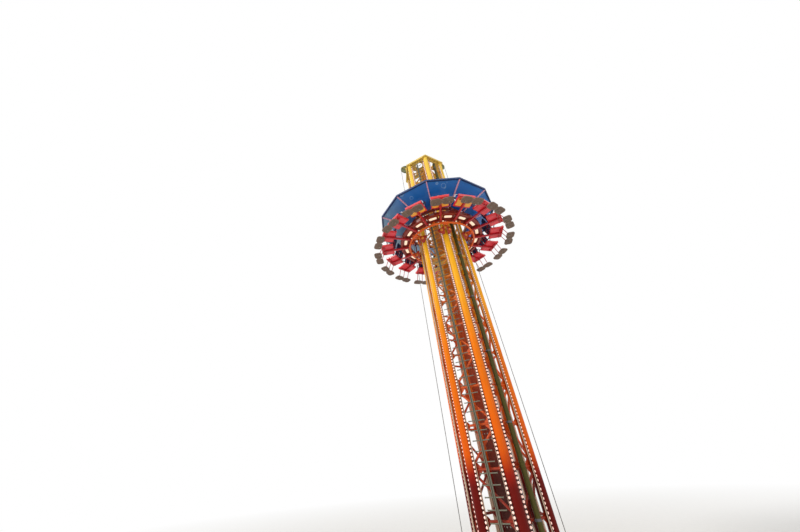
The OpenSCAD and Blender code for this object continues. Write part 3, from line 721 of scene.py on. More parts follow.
def buildDuctTrim(spec):
    radius = spec["radius"]

    def onDuct(z):
        return at(spec["turn"], tower["faceRadius"] + spec["forward"], spec["along"], z)

    half = [(radius + 0.008, 0.044), (radius + 0.013, 0.048), (radius + 0.013, 0.06), (radius + 0.01, 0.07),
            (radius - 0.002, 0.075)]
    shape = bmesh.new()
    addTurned(shape, onDuct(spec["firstCoupling"]), mirrored(half), 28)
    repeats = {"rows": spec["couplings"], "rowStep": spec["couplingStep"]}
    copyRound("ductCouplings", shape, "tower", "duct_olive", 1, **repeats)
    shape = bmesh.new()
    band = onDuct(tower["braceStart"] + tower["braceStep"])
    addTurned(shape, band, mirrored([(radius + 0.006, 0.026), (radius - 0.002, 0.028)]), 28)
    for side in (-1, 1):
        addBox(shape, band @ at(0, -0.02, side * (radius + 0.016)), (0.03, 0.034, 0.05))
        bolt = side * (radius + 0.018)
        addRod(shape, band @ Vector((-0.048, bolt, 0)), band @ Vector((0.006, bolt, 0)), 0.008, 8)
    copyRound("ductBands", shape, "tower", "base_grey", 1, **repeats)
    shape = bmesh.new()
    cap = onDuct(spec["capHeight"])
    addTurned(shape, cap, [(radius - 0.002, 0), (radius + 0.012, 0.004), (radius + 0.012, 0.05),
                           (radius + 0.004, 0.066), (0.02, 0.072)], 28)
    for side in (-1, 1):
        gland = [(0.018, 0), (0.018, 0.016), (0.012, 0.018), (0.01, 0.04)]
        addTurned(shape, cap @ at(0, 0, side * 0.03, 0.068), gland, 12)
    plainPiece("ductCap", shape, "tower", "duct_olive")


buildDuctTrim(ductTrim)


# Hoist mast: corner angles in two lengths and bolted splices
mastTrim = {"half": 0.15, "sides": 4, "angleWidth": 0.06, "lengths": ((0.26, 10.62), (10.76, 17.84)),
            "firstSplice": 1.85, "spliceStep": 2.13, "splices": 8}


def buildMastTrim(spec):
    half, wide, first = spec["half"], spec["angleWidth"], spec["firstSplice"]
    shape = bmesh.new()
    for i in range(spec["sides"]):
        for side in (-1, 1):
            for bottom, top in spec["lengths"]:
                place = at(90 * i, half + 0.004, side * (half - 0.028), (bottom + top) / 2)
                addBox(shape, place, (0.01, wide, top - bottom), 0.002)
    plainPiece("mastAngles", shape, "tower", "mast_brown")
    shape = bmesh.new()
    for i in range(spec["sides"]):
        addBox(shape, at(90 * i, half + 0.01, 0, first), (0.016, 0.25, 0.22))
    copyRound("mastSplices", shape, "tower", "mast_brown", 1, rows=spec["splices"],
              rowStep=spec["spliceStep"])
    spots = []
    for row in range(spec["splices"]):
        for i in range(spec["sides"]):
            for y in (-0.09, 0.0, 0.09):
                for z in (-0.07, 0.07):
                    place = at(90 * i, half + 0.018, y, first + z + row * spec["spliceStep"])
                    spots.append(spot(place, (1, 0, 0)))
    boltsOn("mastBolts", "tower", 0.02, spots)


buildMastTrim(mastTrim)
print("columns, bracing, ladder, duct and mast dressed")


# Tower plates: bolts along the edges, edge ribs under the head plate and lifting lugs on top
plateTrim = {"sectionBottom": 10.6726, "sectionTop": 10.7126, "headTop": 17.96, "headBottom": 17.9,
             "headCorner": 1.3, "columnBolts": 8, "lugHole": 0.075, "lugRadius": 0.06}


def buildPlateTrim(spec):
    spots = []
    for side in range(columns):
        middle = columnTurn * (side + 0.5)
        for t in (-0.3, -0.18, -0.06, 0.06, 0.18, 0.3):
            for z, up in ((spec["sectionBottom"], -1), (spec["sectionTop"], 1)):
                spots.append(spot(at(middle, tower["faceRadius"] + 0.004, t, z), (0, 0, up)))
        column = at(columnTurn * side, tower["columnRing"], 0, spec["headTop"])
        for i in range(spec["columnBolts"]):
            spots.append(spot(column @ at(360 / spec["columnBolts"] * (i + 0.5), 0.1)))
    boltsOn("plateBolts", "tower", 0.024, spots)
    shape, turn, under = bmesh.new(), columnTurn / 2, spec["headBottom"]
    face = spec["headCorner"] * math.cos(math.radians(turn))
    outline = [(face - 0.16, -0.002), (face - 0.012, -0.002), (face - 0.012, -0.03), (face - 0.14, -0.11),
               (face - 0.16, -0.11)]
    for t in (-0.33, 0, 0.33):
        addPlate(shape, at(turn, 0, t, under) @ upright, outline, 0.012)
    addBox(shape, at(turn, face - 0.016, 0, under - 0.03), (0.016, 0.94, 0.062))
    addBox(shape, at(turn, face - 0.163, 0, under - 0.055), (0.014, 0.72, 0.11))
    copyRound("headRibs", shape, "tower", "plate_yellow", columns)
    shape, hole, radius = bmesh.new(), spec["lugHole"], spec["lugRadius"]
    lug = at(0, tower["columnRing"] + 0.02, 0, spec["headTop"]) @ upright
    turns = [math.radians(angle) for angle in range(0, 181, 20)]
    arc = [(radius * math.cos(turn), hole + radius * math.sin(turn)) for turn in turns]
    addPlate(shape, lug, [(0.075, 0.0)] + arc + [(-0.075, 0.0)], 0.02)
    addRod(shape, lug @ Vector((0, hole, -0.022)), lug @ Vector((0, hole, 0.022)), 0.024, 16)
    copyRound("liftingLugs", shape, "tower", "plate_yellow", columns)


buildPlateTrim(plateTrim)


# Sheave brackets, top and bottom: bearing housings, stiffeners and rope keepers
sheaveTrim = {"ropeAngles": (30, 210), "headShaft": 18.38, "returnShaft": 0.7, "cheek": 0.052,
              "housing": ((0.066, 0), (0.066, 0.012), (0.058, 0.017), (0.05, 0.017), (0.047, 0.03),
                          (0.036, 0.036)),
              "boltRing": 0.057, "stiffenerIn": 0.045, "keeperTurns": (38, 142), "keeperSide": 0.047}


def buildSheaveTrim(spec):
    ring, cheek, head, foot = tower["columnRing"], spec["cheek"], spec["headShaft"], spec["returnShaft"]
    first, ropes = spec["ropeAngles"][0], len(spec["ropeAngles"])
    for name, z, slot in (("headBearings", head, "plate_yellow"), ("returnBearings", foot, "base_grey")):
        shape = bmesh.new()
        for side in (-1, 1):
            addTurned(shape, at(0, ring, side * cheek, z) @ sideways(side), spec["housing"], 32)
        copyRound(name, shape, "tower", slot, ropes, first)
    spots, r = [], spec["boltRing"]
    for angle in spec["ropeAngles"]:
        for z in (head, foot):
            for side in (-1, 1):
                y = side * (cheek + 0.015)
                for turn in (math.radians(45 + 90 * i) for i in range(4)):
                    place = at(angle, ring + r * math.cos(turn), y, z + r * math.sin(turn))
                    spots.append(spot(place, (0, side, 0)))
    boltsOn("bearingBolts", "tower", 0.011, spots)
    shape, inset, base = bmesh.new(), spec["stiffenerIn"], plateTrim["headTop"] + 0.0005
    for side in (-1, 1):
        y = side * cheek
        web = at(0, ring - inset, y + side * inset, base) @ Matrix.Rotation(math.pi / 2, 4, "Z") @ upright
        addPlate(shape, web, [(-inset, 0), (inset, 0), (-side * inset, 0.24)], 0.014)
        addBox(shape, at(0, ring - inset, y + side * 0.04, base + 0.008), (0.24, 0.11, 0.016), 0.002)
    for turn in spec["keeperTurns"]:
        out, up = math.cos(math.radians(turn)), math.sin(math.radians(turn))
        level = head + 0.366 * up - 0.02
        arms = [side * spec["keeperSide"] for side in (-1, 1)]
        for y in arms:
            addRod(shape, (ring + 0.05 * out, y, head + 0.05 * up),
                   (ring + 0.34 * out, y, head + 0.34 * up), 0.012, 8)
        addRod(shape, (ring + 0.378 * out, -0.058, level), (ring + 0.378 * out, 0.058, level), 0.011, 10)
        for y in arms:
            addRod(shape, (ring + 0.33 * out, y, head + 0.33 * up), (ring + 0.382 * out, y, level), 0.01, 8)
    copyRound("ropeKeepers", shape, "tower", "plate_yellow", ropes, first)


buildSheaveTrim(sheaveTrim)


# Base frame: stiffeners on the beams and a cover over the hub
baseTrim = {"thickness": 0.014, "rimPlates": (-0.16, 0.16), "spokePlates": (0.46, 0.66), "hubTop": 0.2,
            "rimOutline": ((0.099, 0.045), (0.135, 0.045), (0.135, 0.06), (0.115, 0.19), (0.099, 0.19)),
            "spokeOutline": ((0.099, 0.045), (0.13, 0.045), (0.11, 0.19), (0.099, 0.19)),
            "cover": ((0.272, 0), (0.272, 0.008), (0.262, 0.012), (0.2, 0.012))}


def buildBaseTrim(spec):
    shape = bmesh.new()
    for t in spec["rimPlates"]:
        for flip in (1, -1):
            place = at(columnTurn / 2, tower["faceRadius"], t) @ Matrix.Scale(flip, 4, (1, 0, 0)) @ upright
            addPlate(shape, place, spec["rimOutline"], spec["thickness"])
    for r in spec["spokePlates"]:
        for side in (-1, 1):
            place = at(0, r) @ Matrix.Rotation(side * math.pi / 2, 4, "Z") @ upright
            addPlate(shape, place, spec["spokeOutline"], spec["thickness"])
    copyRound("beamStiffeners", shape, "tower", "base_grey", columns)
    shape = bmesh.new()
    addTurned(shape, at(0, 0, 0, spec["hubTop"]), spec["cover"], 48)
    for i in range(4):
        addBox(shape, at(45 + 90 * i, 0.236, 0, spec["hubTop"] + 0.019), (0.03, 0.05, 0.012))
    plainPiece("hubCover", shape, "tower", "base_grey")


buildBaseTrim(baseTrim)
print("head and base dressed")


# Carriage lights: one rounded window in each bay between the two rings, and a round lamp beside it.
# The frame and lens are (grow, rise) pairs: how far the outline is grown, and its height
windowLights = {"middle": 1.8, "radial": 0.135, "tangent": 0.35, "height": 12.196, "hangers": (-0.12, 0.12),
                "frame": ((0.155, 0.03), (0.155, 0.004), (0.15, 0), (0.035, -0.001), (0.03, -0.014),
                          (0.012, -0.016), (0.006, -0.006)),
                "lens": ((0.008, 0.002), (0.008, -0.012), (-0.01, -0.022), (-0.06, -0.028), (-0.15, -0.03)),
                "lampTurn": -7.4, "lampRing": 1.6, "lampSize": 0.052,
                "can": ((0.8, 0), (0.8, 0.02), (1, 0.026), (1, 0.042), (0.9, 0.046), (0.86, 0.036)),
                "glass": ((0.86, 0.034), (0.84, 0.044), (0.7, 0.053), (0.4, 0.058), (0.1, 0.06))}


def bayLoop(spec, grow):  # a soft rectangle bent along the bay's arc
    loop = []
    for x, y in squareLoop(spec["radial"] + grow, spec["tangent"] + grow, 6.0, 44):
        r, turn = spec["middle"] + x, y / spec["middle"]
        loop.append((r * math.cos(turn), r * math.sin(turn)))
    return loop


def buildWindowLights(spec):
    bay, z = seatTurn / 2, spec["height"]
    windows = {}
    for part in ("frame", "lens"):
        windows[part] = bmesh.new()
        addLoft(windows[part], at(), [(bayLoop(spec, grow), z + rise) for grow, rise in spec[part]])
    for t in spec["hangers"]:
        addBox(windows["frame"], at(0, spec["middle"], t, z + 0.048), (0.25, 0.03, 0.04), 0.004)
    copyRound("windowFrames", windows["frame"], "gondola", "carriage_maroon", seats, bay)
    copyRound("windowLenses", windows["lens"], "gondola", "panelGlow", seats, bay)
    size = spec["lampSize"]
    place = at(spec["lampTurn"], spec["lampRing"], 0, gondola["ringUnder"]) @ Matrix.Rotation(math.pi, 4, "X")
    for name, part, steps, finish in (("lampCans", "can", 20, "carriage_maroon"),
                                      ("roundLamps", "glass", 16, "panelGlow")):
        shape = bmesh.new()
        addTurned(shape, place, [(size * r, height) for r, height in spec[part]], steps)
        copyRound(name, shape, "gondola", finish, seats, bay)


buildWindowLights(windowLights)


# Guide ring and brackets: tube saddles, post flanges, pin plates and roller hubs
guideTrim = {"tube": 0.045, "sleeve": 0.011, "collar": 0.017, "saddleTurn": 4.6, "posts": 8,
             "ribRing": 1.5, "ribSide": 0.083, "ribLevel": 0.03, "roller": 1.2803, "cheekOut": 0.075,
             "rollerOut": 0.0552, "upperZ": 13.03,
             "flange": ((0.047, -0.002), (0.047, -0.014), (0.04, -0.017), (0.028, -0.03)),
             "cap": ((0.04, 0.03), (0.034, 0.047), (0.026, 0.055)),
             "pin": ((0.034, 0), (0.034, 0.006), (0.026, 0.01), (0.022, 0.012), (0.02, 0.02), (0.01, 0.023)),
             "hub": ((0.056, -0.003), (0.05, 0.002), (0.03, 0.005))}


def buildGuideTrim(spec):
    z, ring, tube = gondola["guideHeight"], gondola["postRing"], spec["tube"]
    levels, roller, cheek = (z, spec["upperZ"]), spec["roller"], spec["cheekOut"]
    shape = bmesh.new()
    ends = [at(turn, ring, 0, z).translation for turn in (-spec["saddleTurn"], spec["saddleTurn"])]
    addRod(shape, ends[0], ends[1], tube + spec["sleeve"], 24)
    for end, towards in ((ends[0], -1), (ends[1], 1)):
        along = (ends[1] - ends[0]).normalized() * towards
        addRod(shape, end - along * 0.024, end - along * 0.006, tube + spec["collar"], 24)
    for side in (-1, 1):
        for level in (-spec["ribLevel"], spec["ribLevel"]):
            addBox(shape, at(0, spec["ribRing"], side * spec["ribSide"], z + level), (0.12, 0.016, 0.026))
    copyRound("guideSaddles", shape, "gondola", "guide_orange", columns)
    shape = bmesh.new()
    addTurned(shape, at(0, ring, 0, gondola["ringUnder"]), spec["flange"], 20)
    addTurned(shape, at(0, ring, 0, z), spec["cap"], 20)
    copyRound("guidePostFlanges", shape, "gondola", "guide_orange", spec["posts"], seatTurn / 2)
    shape = bmesh.new()
    for level in levels:
        for side in (-1, 1):
            addTurned(shape, at(0, roller, side * cheek, level) @ sideways(side), spec["pin"], 20)
            addTurned(shape, at(0, roller, side * spec["rollerOut"], level) @ sideways(side), spec["hub"], 28)
    copyRound("rollerHubs", shape, "gondola", "bar_steel", columns)
    spots = []
    for column in range(columns):
        for level in levels:
            for side in (-1, 1):
                for up in (0.036, -0.036):
                    place = at(columnTurn * column, roller + 0.062, side * cheek, level + up)
                    spots.append(spot(place, (0, side, 0)))
    boltsOn("bracketBolts", "gondola", 0.014, spots)


buildGuideTrim(guideTrim)


# Roller cups: two curved claws hang under each lower fork, with the roller between them
cupShape = {"topRadius": 0.34, "lowRadius": 0.205, "drop": 0.3, "gap": 0.0625, "wall": 0.01, "spread": 74.0,
            "levels": (0.0, 0.2, 0.4, 0.58, 0.74, 0.87, 0.95, 1.0), "below": 0.0603, "flangeIn": 0.055,
            "flangeOut": 0.012, "discTurn": 36.0, "discOut": 0.302, "discDrop": 0.11,
            "disc": ((0.062, 0), (0.066, 0.006), (0.066, 0.034), (0.058, 0.042), (0.024, 0.044),
                     (0.02, 0.052))}


def arcBand(inner, outer, gap, spread, steps=12):  # a curved band seen from above, open by the gap
    loop = []
    for radius, order in ((outer, range(steps + 1)), (inner, range(steps, -1, -1))):
        start = math.asin(gap / radius)
        for i in order:
            turn = start + (math.radians(spread) - start) * i / steps
            loop.append((radius * math.cos(turn), radius * math.sin(turn)))
    return loop


def buildRollerCups(spec):
    cups, discs, gap, widest = bmesh.new(), bmesh.new(), spec["gap"], spec["topRadius"]
    ring, top = tower["columnRing"], gondola["guideHeight"] - spec["below"]
    for side in (-1, 1):
        place = at(0, ring, 0, top) @ Matrix.Diagonal((1, side, 1, 1))
        levels = []
        for part in spec["levels"]:
            radius = widest - (widest - spec["lowRadius"]) * part ** 2
            spread = spec["spread"] * math.cos(part * 0.9)
            levels.append((arcBand(radius - spec["wall"], radius, gap, spread), -spec["drop"] * part))
        addLoft(cups, place, levels)
        band = arcBand(widest - spec["flangeIn"], widest + spec["flangeOut"], gap, spec["spread"] + 2)
        addLoft(cups, place, [(band, 0.0), (band, -0.01)])
        place = at(0, ring, 0, top - spec["discDrop"]) @ at(side * spec["discTurn"], spec["discOut"], lean=90)
        addTurned(discs, place, spec["disc"], 28)
    # the cups' dark red-orange finish is painted shade on orange paint
    copyRound("rollerCups", cups, "gondola", "cupOrangePaintedShade", columns)
    copyRound("cupDiscs", discs, "gondola", "roller_amber", columns)


buildRollerCups(cupShape)


# Carriage: splice plates on the outer ring, edge beads, arm root plates, T bars under the pans, lamp cable
carriageTrim = {"splices": 8, "edge": 0.006, "rootPlates": (1.66, 2.06), "armDepth": 0.08, "capRadius": 2.953,
                "barRadius": 2.895, "barLength": 0.62, "barSide": 0.052, "conduitIn": 0.03,
                "conduitRadius": 0.013, "armBolts": (1.66, 1.74, 1.86, 1.94), "boltSide": 0.03,
                "spliceBolts": (-0.08, -0.03, 0.03, 0.08)}


def buildCarriageTrim(spec):
    outer, top, ringTop = gondola["outerRing"] + gondola["ringWidth"], gondola["armTop"], gondola["ringTop"]
    mid, under, bay = top + gondola["ringHeight"] / 2, top - spec["armDepth"], seatTurn / 2
    shape = bmesh.new()
    addBox(shape, at(0, outer + 0.003, 0, mid), (0.012, 0.22, 0.11), 0.002)
    addBox(shape, at(0, outer - 0.05, 0, ringTop + 0.003), (0.08, 0.22, 0.01), 0.002)
    copyRound("ringSplices", shape, "gondola", "carriage_maroon", spec["splices"], bay)
    shape, edge = bmesh.new(), spec["edge"]
    for z, up in ((gondola["ringUnder"], -0.004), (ringTop, 0.004)):
        for ring in (gondola["innerRing"], gondola["outerRing"]):
            for r in (ring, ring + gondola["ringWidth"]):
                addHoop(shape, r, z, [(-edge, 0), (edge, 0), (0.005, up), (-0.005, up)])
    plainPiece("ringEdges", shape, "gondola", "carriage_maroon")
    shape = bmesh.new()
    outline = [(0.034, top - 0.001), (0.085, top - 0.001), (0.085, top - 0.012), (0.034, under + 0.01)]
    for r in spec["rootPlates"]:
        for side in (-1, 1):
            addPlate(shape, at(0, r) @ facing, [(side * x, y) for x, y in outline], 0.012)
    addBox(shape, at(0, spec["rootPlates"][0] + 0.14, 0, under - 0.003), (0.4, 0.09, 0.008), 0.002)
    addBox(shape, at(0, spec["capRadius"], 0, top - 0.04), (0.008, 0.078, 0.086), 0.002)
    thick, half, radius = spec["barSide"], spec["barLength"] / 2, spec["barRadius"]
    loop = squareLoop(thick, thick, 7.0, 16)
    addLoft(shape, at(0, radius, 0, top - 0.0005 - thick / 2) @ sideways(1), [(loop, -half), (loop, half)])
    for side in (-1, 1):
        addBox(shape, at(0, radius, side * half, top - 0.027), (0.06, 0.006, 0.06), 0.001)
        addBox(shape, at(0, radius, side * 0.2, top - 0.004), (0.1, 0.07, 0.007), 0.002)
    copyRound("armBars", shape, "gondola", "arm_crimson", seats)
    spots = []
    for seat in range(seats):
        for r in spec["armBolts"]:
            for side in (-1, 1):
                spots.append(spot(at(seatTurn * seat, r, side * spec["boltSide"], under - 0.007), (0, 0, -1)))
    for splice in range(spec["splices"]):
        for t in spec["spliceBolts"]:
            for z in (-0.032, 0.032):
                place = at(bay + 360 / spec["splices"] * splice, outer + 0.009, t, mid + z)
                spots.append(spot(place, (1, 0, 0)))
    boltsOn("carriageBolts", "gondola", 0.014, spots)
    shape, ring = bmesh.new(), gondola["outerRing"] + spec["conduitIn"]
    addHoop(shape, ring, ringTop + 0.02, circleLoop(spec["conduitRadius"], 10))
    for i in range(seats):
        place = at(bay + seatTurn * i, ring, 0, ringTop)
        if i % 2:
            addBox(shape, place @ at(z=0.03), (0.075, 0.13, 0.05), 0.006)
        else:
            addBox(shape, place @ at(z=0.017), (0.05, 0.02, 0.034), 0.004)
    plainPiece("lampConduit", shape, "gondola", "base_grey")


buildCarriageTrim(carriageTrim)


# Seat pans: moulded tubs for two, dished on top, with crimson panels on the underside; the amber on the three
# front seats' panels is a painted reflection of warm light from below
panShape = {"bottom": 12.1503, "height": 0.1, "lip": 0.135, "dish": 0.032, "seatMiddle": 0.19, "edge": 0.022,
            "underside": ((0.0, 0.03), (0.006, 0.01), (0.018, 0.0), (0.05, 0.0), (0.054, 0.006)),
            "panelSide": 0.205, "panelLength": 0.29,
            "panelLevels": ((0, 0.008), (0, -0.001), (0.012, -0.004), (0.06, -0.002)),
            "paintedLightSeats": 3, "paintedLightStart": 270.0, "legFoot": 2.607, "legSide": 0.354,
            "socket": ((0.034, -0.004), (0.034, 0.006), (0.03, 0.01), (0.024, 0.012), (0.022, 0.03),
                       (0.0185, 0.034))}


def panTop(spec, x, y):  # height of the pan's upper side; x runs from the back to the front edge
    depth, half = gondola["panDepth"], gondola["panWidth"] / 2
    rise = max(0.0, min(1.0, (x - (depth - 0.12)) / 0.085))
    top = spec["height"] + (spec["lip"] - spec["height"]) * (3 * rise ** 2 - 2 * rise ** 3)
    hollow = math.exp(-((abs(y) - spec["seatMiddle"]) / 0.12) ** 4)
    length = max(0.0, min(1.0, (x - 0.03) / 0.12)) * max(0.0, min(1.0, (depth - 0.1 - x) / 0.16))
    top -= spec["dish"] * hollow * length
    near, edge = min(x, depth - x, half - abs(y)), spec["edge"]
    if near < edge:
        top -= edge - math.sqrt(max(0.0, edge ** 2 - (edge - near) ** 2))
    return top


def stepsAcross(low, high, count, edge):  # even steps with extra ones close to both ends
    inner = [low + edge + (high - low - 2 * edge) * i / count for i in range(count + 1)]
    close = [0.0, edge * 0.12, edge * 0.45]
    return [low + c for c in close] + inner + [high - c for c in reversed(close)]


def buildPans(spec):
    depth, half, back, low = gondola["panDepth"], gondola["panWidth"] / 2, gondola["panStart"], spec["bottom"]
    xs, ys = stepsAcross(0, depth, 16, spec["edge"]), stepsAcross(-half, half, 26, spec["edge"])
    shape = bmesh.new()
    top = [[shape.verts.new((back + x, y, low + panTop(spec, x, y))) for y in ys] for x in xs]
    for row, ahead in zip(top, top[1:]):
        for j in range(len(ys) - 1):
            shape.faces.new((row[j], ahead[j], ahead[j + 1], row[j + 1]))
    loops, centre = [rimOf(top)], Vector((back + depth / 2, 0, 0))
    for inset, z in spec["underside"]:
        scale, loop = Vector((1 - inset / (depth / 2), 1 - inset / half)), []
        for away in (vert.co - centre for vert in loops[0]):
            loop.append(shape.verts.new((centre.x + away.x * scale.x, away.y * scale.y, low + z)))
        loops.append(loop)
    joinRings(shape, loops)
    shape.faces.new(loops[-1])
    copyRound("mouldedPans", shape, "gondola", "seat_red", seats, replaced=["seat_pans"], sharp=50)
    shape = bmesh.new()
    for side in (-1, 1):
        wide, long = depth * 0.7, spec["panelLength"]
        levels = [(squareLoop(wide - less, long - less, 9), z) for less, z in spec["panelLevels"]]
        addLoft(shape, at(0, back + depth * 0.46, side * spec["panelSide"], low), levels)
    # painted light: the first seats get amber panels, the rest crimson
    inset, amber, start = toMesh(shape, "panPanels"), spec["paintedLightSeats"], spec["paintedLightStart"]
    copyRound("panPanelsPaintedLight", inset, "gondola", "insetAmberPaintedLight", amber, start, seatTurn)
    rest = start + seatTurn * amber
    copyRound("panPanelsCrimson", inset, "gondola", "insetCrimson", seats - amber, rest, seatTurn)
    shape, seat = bmesh.new(), low + spec["height"]
    addBox(shape, at(0, back + 0.32, 0, seat - 0.002), (0.42, 0.035, 0.02), 0.008)
    for side in (-1, 1):
        addTurned(shape, at(0, spec["legFoot"], side * spec["legSide"], seat), spec["socket"], 20)
    copyRound("barSockets", shape, "gondola", "gripBlack", seats)


buildPans(panShape)


# Seat backs: two navy shells on each unit, each with ribs and stays behind and a sewn pad on its front
backShape = {"foot": 2.49, "side": 0.19, "width": 0.35, "height": 0.78, "lean": -20.0, "shellDepth": 0.034,
             "shell": ((0.86, 0.94, 0.0), (0.96, 0.985, 0.004), (1.0, 1.0, 0.016), (1.0, 1.0, 0.034),
                       (0.985, 0.994, 0.05), (0.96, 0.982, 0.052), (0.93, 0.968, 0.046), (0.9, 0.955, 0.032)),
             "ribs": (-0.09, 0.0, 0.09), "stays": (-0.1, 0.1), "stayRadius": 0.013,
             "padWidth": 0.3, "padHeight": 0.7, "padDepth": 0.03, "puff": 5.0, "mostPuff": 0.014,
             "crown": 0.01, "seamDepth": 0.013, "seamWidth": 0.012,
             "seams": (-0.2375, -0.1375, -0.0375, 0.0625, 0.1625)}


def backPlace(spec, side, depth=0.0, up=0.0):  # local X across, Y up the back, Z towards the rider
    base = at(0, spec["foot"], side * spec["side"], gondola["seatHeight"] + 0.0006, spec["lean"])
    return base @ Matrix.Translation((depth, 0, spec["height"] / 2 + up)) @ facing


def buildShells(spec):
    wide, high = spec["width"], spec["height"]
    shape = bmesh.new()
    for side in (-1, 1):
        back = backPlace(spec, side)
        addLoft(shape, back, [(squareLoop(wide * w, high * h, 5.2, 48), z) for w, h, z in spec["shell"]])
        rib, crest = squareLoop(0.022, high * 0.66, 6, 20), squareLoop(0.012, high * 0.64, 6, 20)
        for x in spec["ribs"]:
            addLoft(shape, back @ at(0, x), [(rib, 0.002), (rib, -0.006), (crest, -0.012)])
    copyRound("backShells", shape, "gondola", "back_navy", seats, replaced=["seat_backs"], sharp=48)
    shape = bmesh.new()
    for side in (-1, 1):
        back = backPlace(spec, side)
        for x in spec["stays"]:
            foot, head = Vector((x, -high / 2 + 0.012, -0.012)), Vector((x, -0.04, -0.016))
            addRod(shape, back @ foot, back @ head, spec["stayRadius"], 10)
        addBox(shape, backPlace(spec, side, -0.016, -0.12), (0.24, 0.04, 0.012))
    copyRound("backStays", shape, "gondola", "arm_crimson", seats)


def puffUp(mesh, spec):  # a short cloth run with a little pressure; the back of the pad is held
    start = [v.co.copy() for v in mesh.vertices]
    holder = newObject("padStart", mesh)
    pinned = holder.vertex_groups.new(name="pinned")
    pinned.add([v.index for v in mesh.vertices if v.co.z < spec["padDepth"] * 0.5], 1.0, "REPLACE")
    cloth = holder.modifiers.new("puff", "CLOTH").settings
    cloth.quality = 5
    cloth.use_pressure = True
    cloth.uniform_pressure_force = spec["puff"]
    cloth.effector_weights.gravity = 0
    cloth.vertex_group_mass = "pinned"
    cloth.tension_stiffness = 12
    cloth.bending_stiffness = 2
    for step in range(1, 15):
        bpy.context.scene.frame_set(step)
    blown = bpy.data.meshes.new_from_object(holder.evaluated_get(bpy.context.evaluated_depsgraph_get()))
    holder.modifiers.clear()
    bpy.context.scene.frame_set(1)
    for vert, old in zip(blown.vertices, start):
        move = vert.co - old
        vert.co = old + move * min(1.0, spec["mostPuff"] / max(move.length, 1e-6))
    bpy.data.objects.remove(holder)
    return blown


def padMesh(spec):  # one pad, blown up a little, then its seams pressed in
    across, along = 14, 56
    wide, high, thick = spec["padWidth"], spec["padHeight"], spec["padDepth"]
    shape, borders = bmesh.new(), []
    for z in (0.0, thick):
        grid = []
        for v in (2 * j / along - 1 for j in range(along + 1)):
            row = []
            for u in (2 * i / across - 1 for i in range(across + 1)):
                x = u * math.sqrt(1 - 0.17 * v ** 8) * wide / 2
                y = v * math.sqrt(1 - 0.06 * u ** 6) * high / 2
                row.append(shape.verts.new((x, y, z)))
            grid.append(row)
        for row, above in zip(grid, grid[1:]):
            for i in range(across):
                shape.faces.new((row[i], row[i + 1], above[i + 1], above[i]))
        borders.append(rimOf(grid))
    joinRings(shape, borders)
    mesh = toMesh(shape, "padStart")
    mesh = puffUp(mesh, spec)
    for vert in mesh.vertices:
        if vert.co.z > thick * 0.7:
            x, y = vert.co.x, vert.co.y
            crown = spec["crown"] * math.exp(-((abs(x) - wide * 0.36) / 0.045) ** 2)
            crown *= 1 if y < high * 0.2 else 0.4
            fall = max(0.0, 1 - (abs(x) / (wide * 0.47)) ** 8)
            near = [math.exp(-((y - line) / spec["seamWidth"]) ** 2) for line in spec["seams"]]
            vert.co.z += crown - sum(spec["seamDepth"] * share for share in near) * fall
    mesh.update()
    return mesh


def buildPads(spec):
    one = padMesh(spec)
    shape = bmesh.new()
    for side in (-1, 1):
        part = one.copy()
        part.transform(backPlace(spec, side, spec["shellDepth"] - 0.004))
        shape.from_mesh(part)
        bpy.data.meshes.remove(part)
    pads = copyRound("backPads", shape, "gondola", "padNavy", seats, sharp=80)


buildShells(backShape)
buildPads(backShape)


# Lap bars: ribbed grips on the cross bar, sleeves on the legs, and a clamp in the middle
barTrim = {"foot": 2.6, "side": 0.354, "lean": 23.81, "leg": 0.3716, "grip": 0.025, "gripLength": 0.2,
           "ribs": 9, "ribStart": 0.012, "ribStep": 0.02,
           "sleeve": ((0.019, 0), (0.024, 0.004), (0.024, 0.11), (0.019, 0.114)),
           "clamp": ((0.02, 0), (0.0265, 0.003), (0.0265, 0.057), (0.02, 0.06))}


def buildBarTrim(spec):
    grip, length, seat = spec["grip"], spec["gripLength"], gondola["seatHeight"]
    cross = at(0, spec["foot"], 0, seat + 0.0003, spec["lean"]) @ Matrix.Translation((0, 0, spec["leg"]))
    ribs = [(grip * 0.8, 0), (grip, 0.006)]
    for i in range(spec["ribs"]):
        z = spec["ribStart"] + i * spec["ribStep"]
        ribs += [(grip, z), (grip * 0.9, z + 0.003), (grip * 0.9, z + 0.006), (grip, z + 0.009)]
    ribs += [(grip, length - 0.004), (grip * 0.8, length)]
    shape = bmesh.new()
    for side in (-1, 1):
        addTurned(shape, cross @ at(0, 0, side * 0.04) @ sideways(side), ribs, 14)
        leg = at(0, spec["foot"], side * spec["side"], seat, spec["lean"])
        addTurned(shape, leg @ at(z=0.12), spec["sleeve"], 14)
    copyRound("barGrips", shape, "gondola", "gripBlack", seats)
    shape = bmesh.new()
    addTurned(shape, cross @ at(0, 0, -0.03) @ sideways(1), spec["clamp"], 16)
    addBox(shape, cross @ at(0, 0.03), (0.04, 0.026, 0.012))
    copyRound("barClamps", shape, "gondola", "bar_steel", seats)


buildBarTrim(barTrim)


# Footplates: tread slats and a rubber edge on top of each lobe, ribs and hanger nuts underneath
footTrim = {"start": 3.05, "depth": 0.37, "length": 0.95, "thickness": 0.03, "slats": 9, "slatStep": 0.034,
            "slatWidth": 0.012, "slatLength": 0.33, "shortSlat": 0.27, "lobe": 0.25, "ribs": (-0.1, 0.0, 0.1),
            "crossRibs": (0.12, 0.38), "hangerIn": 0.13, "hangerSide": 0.285}


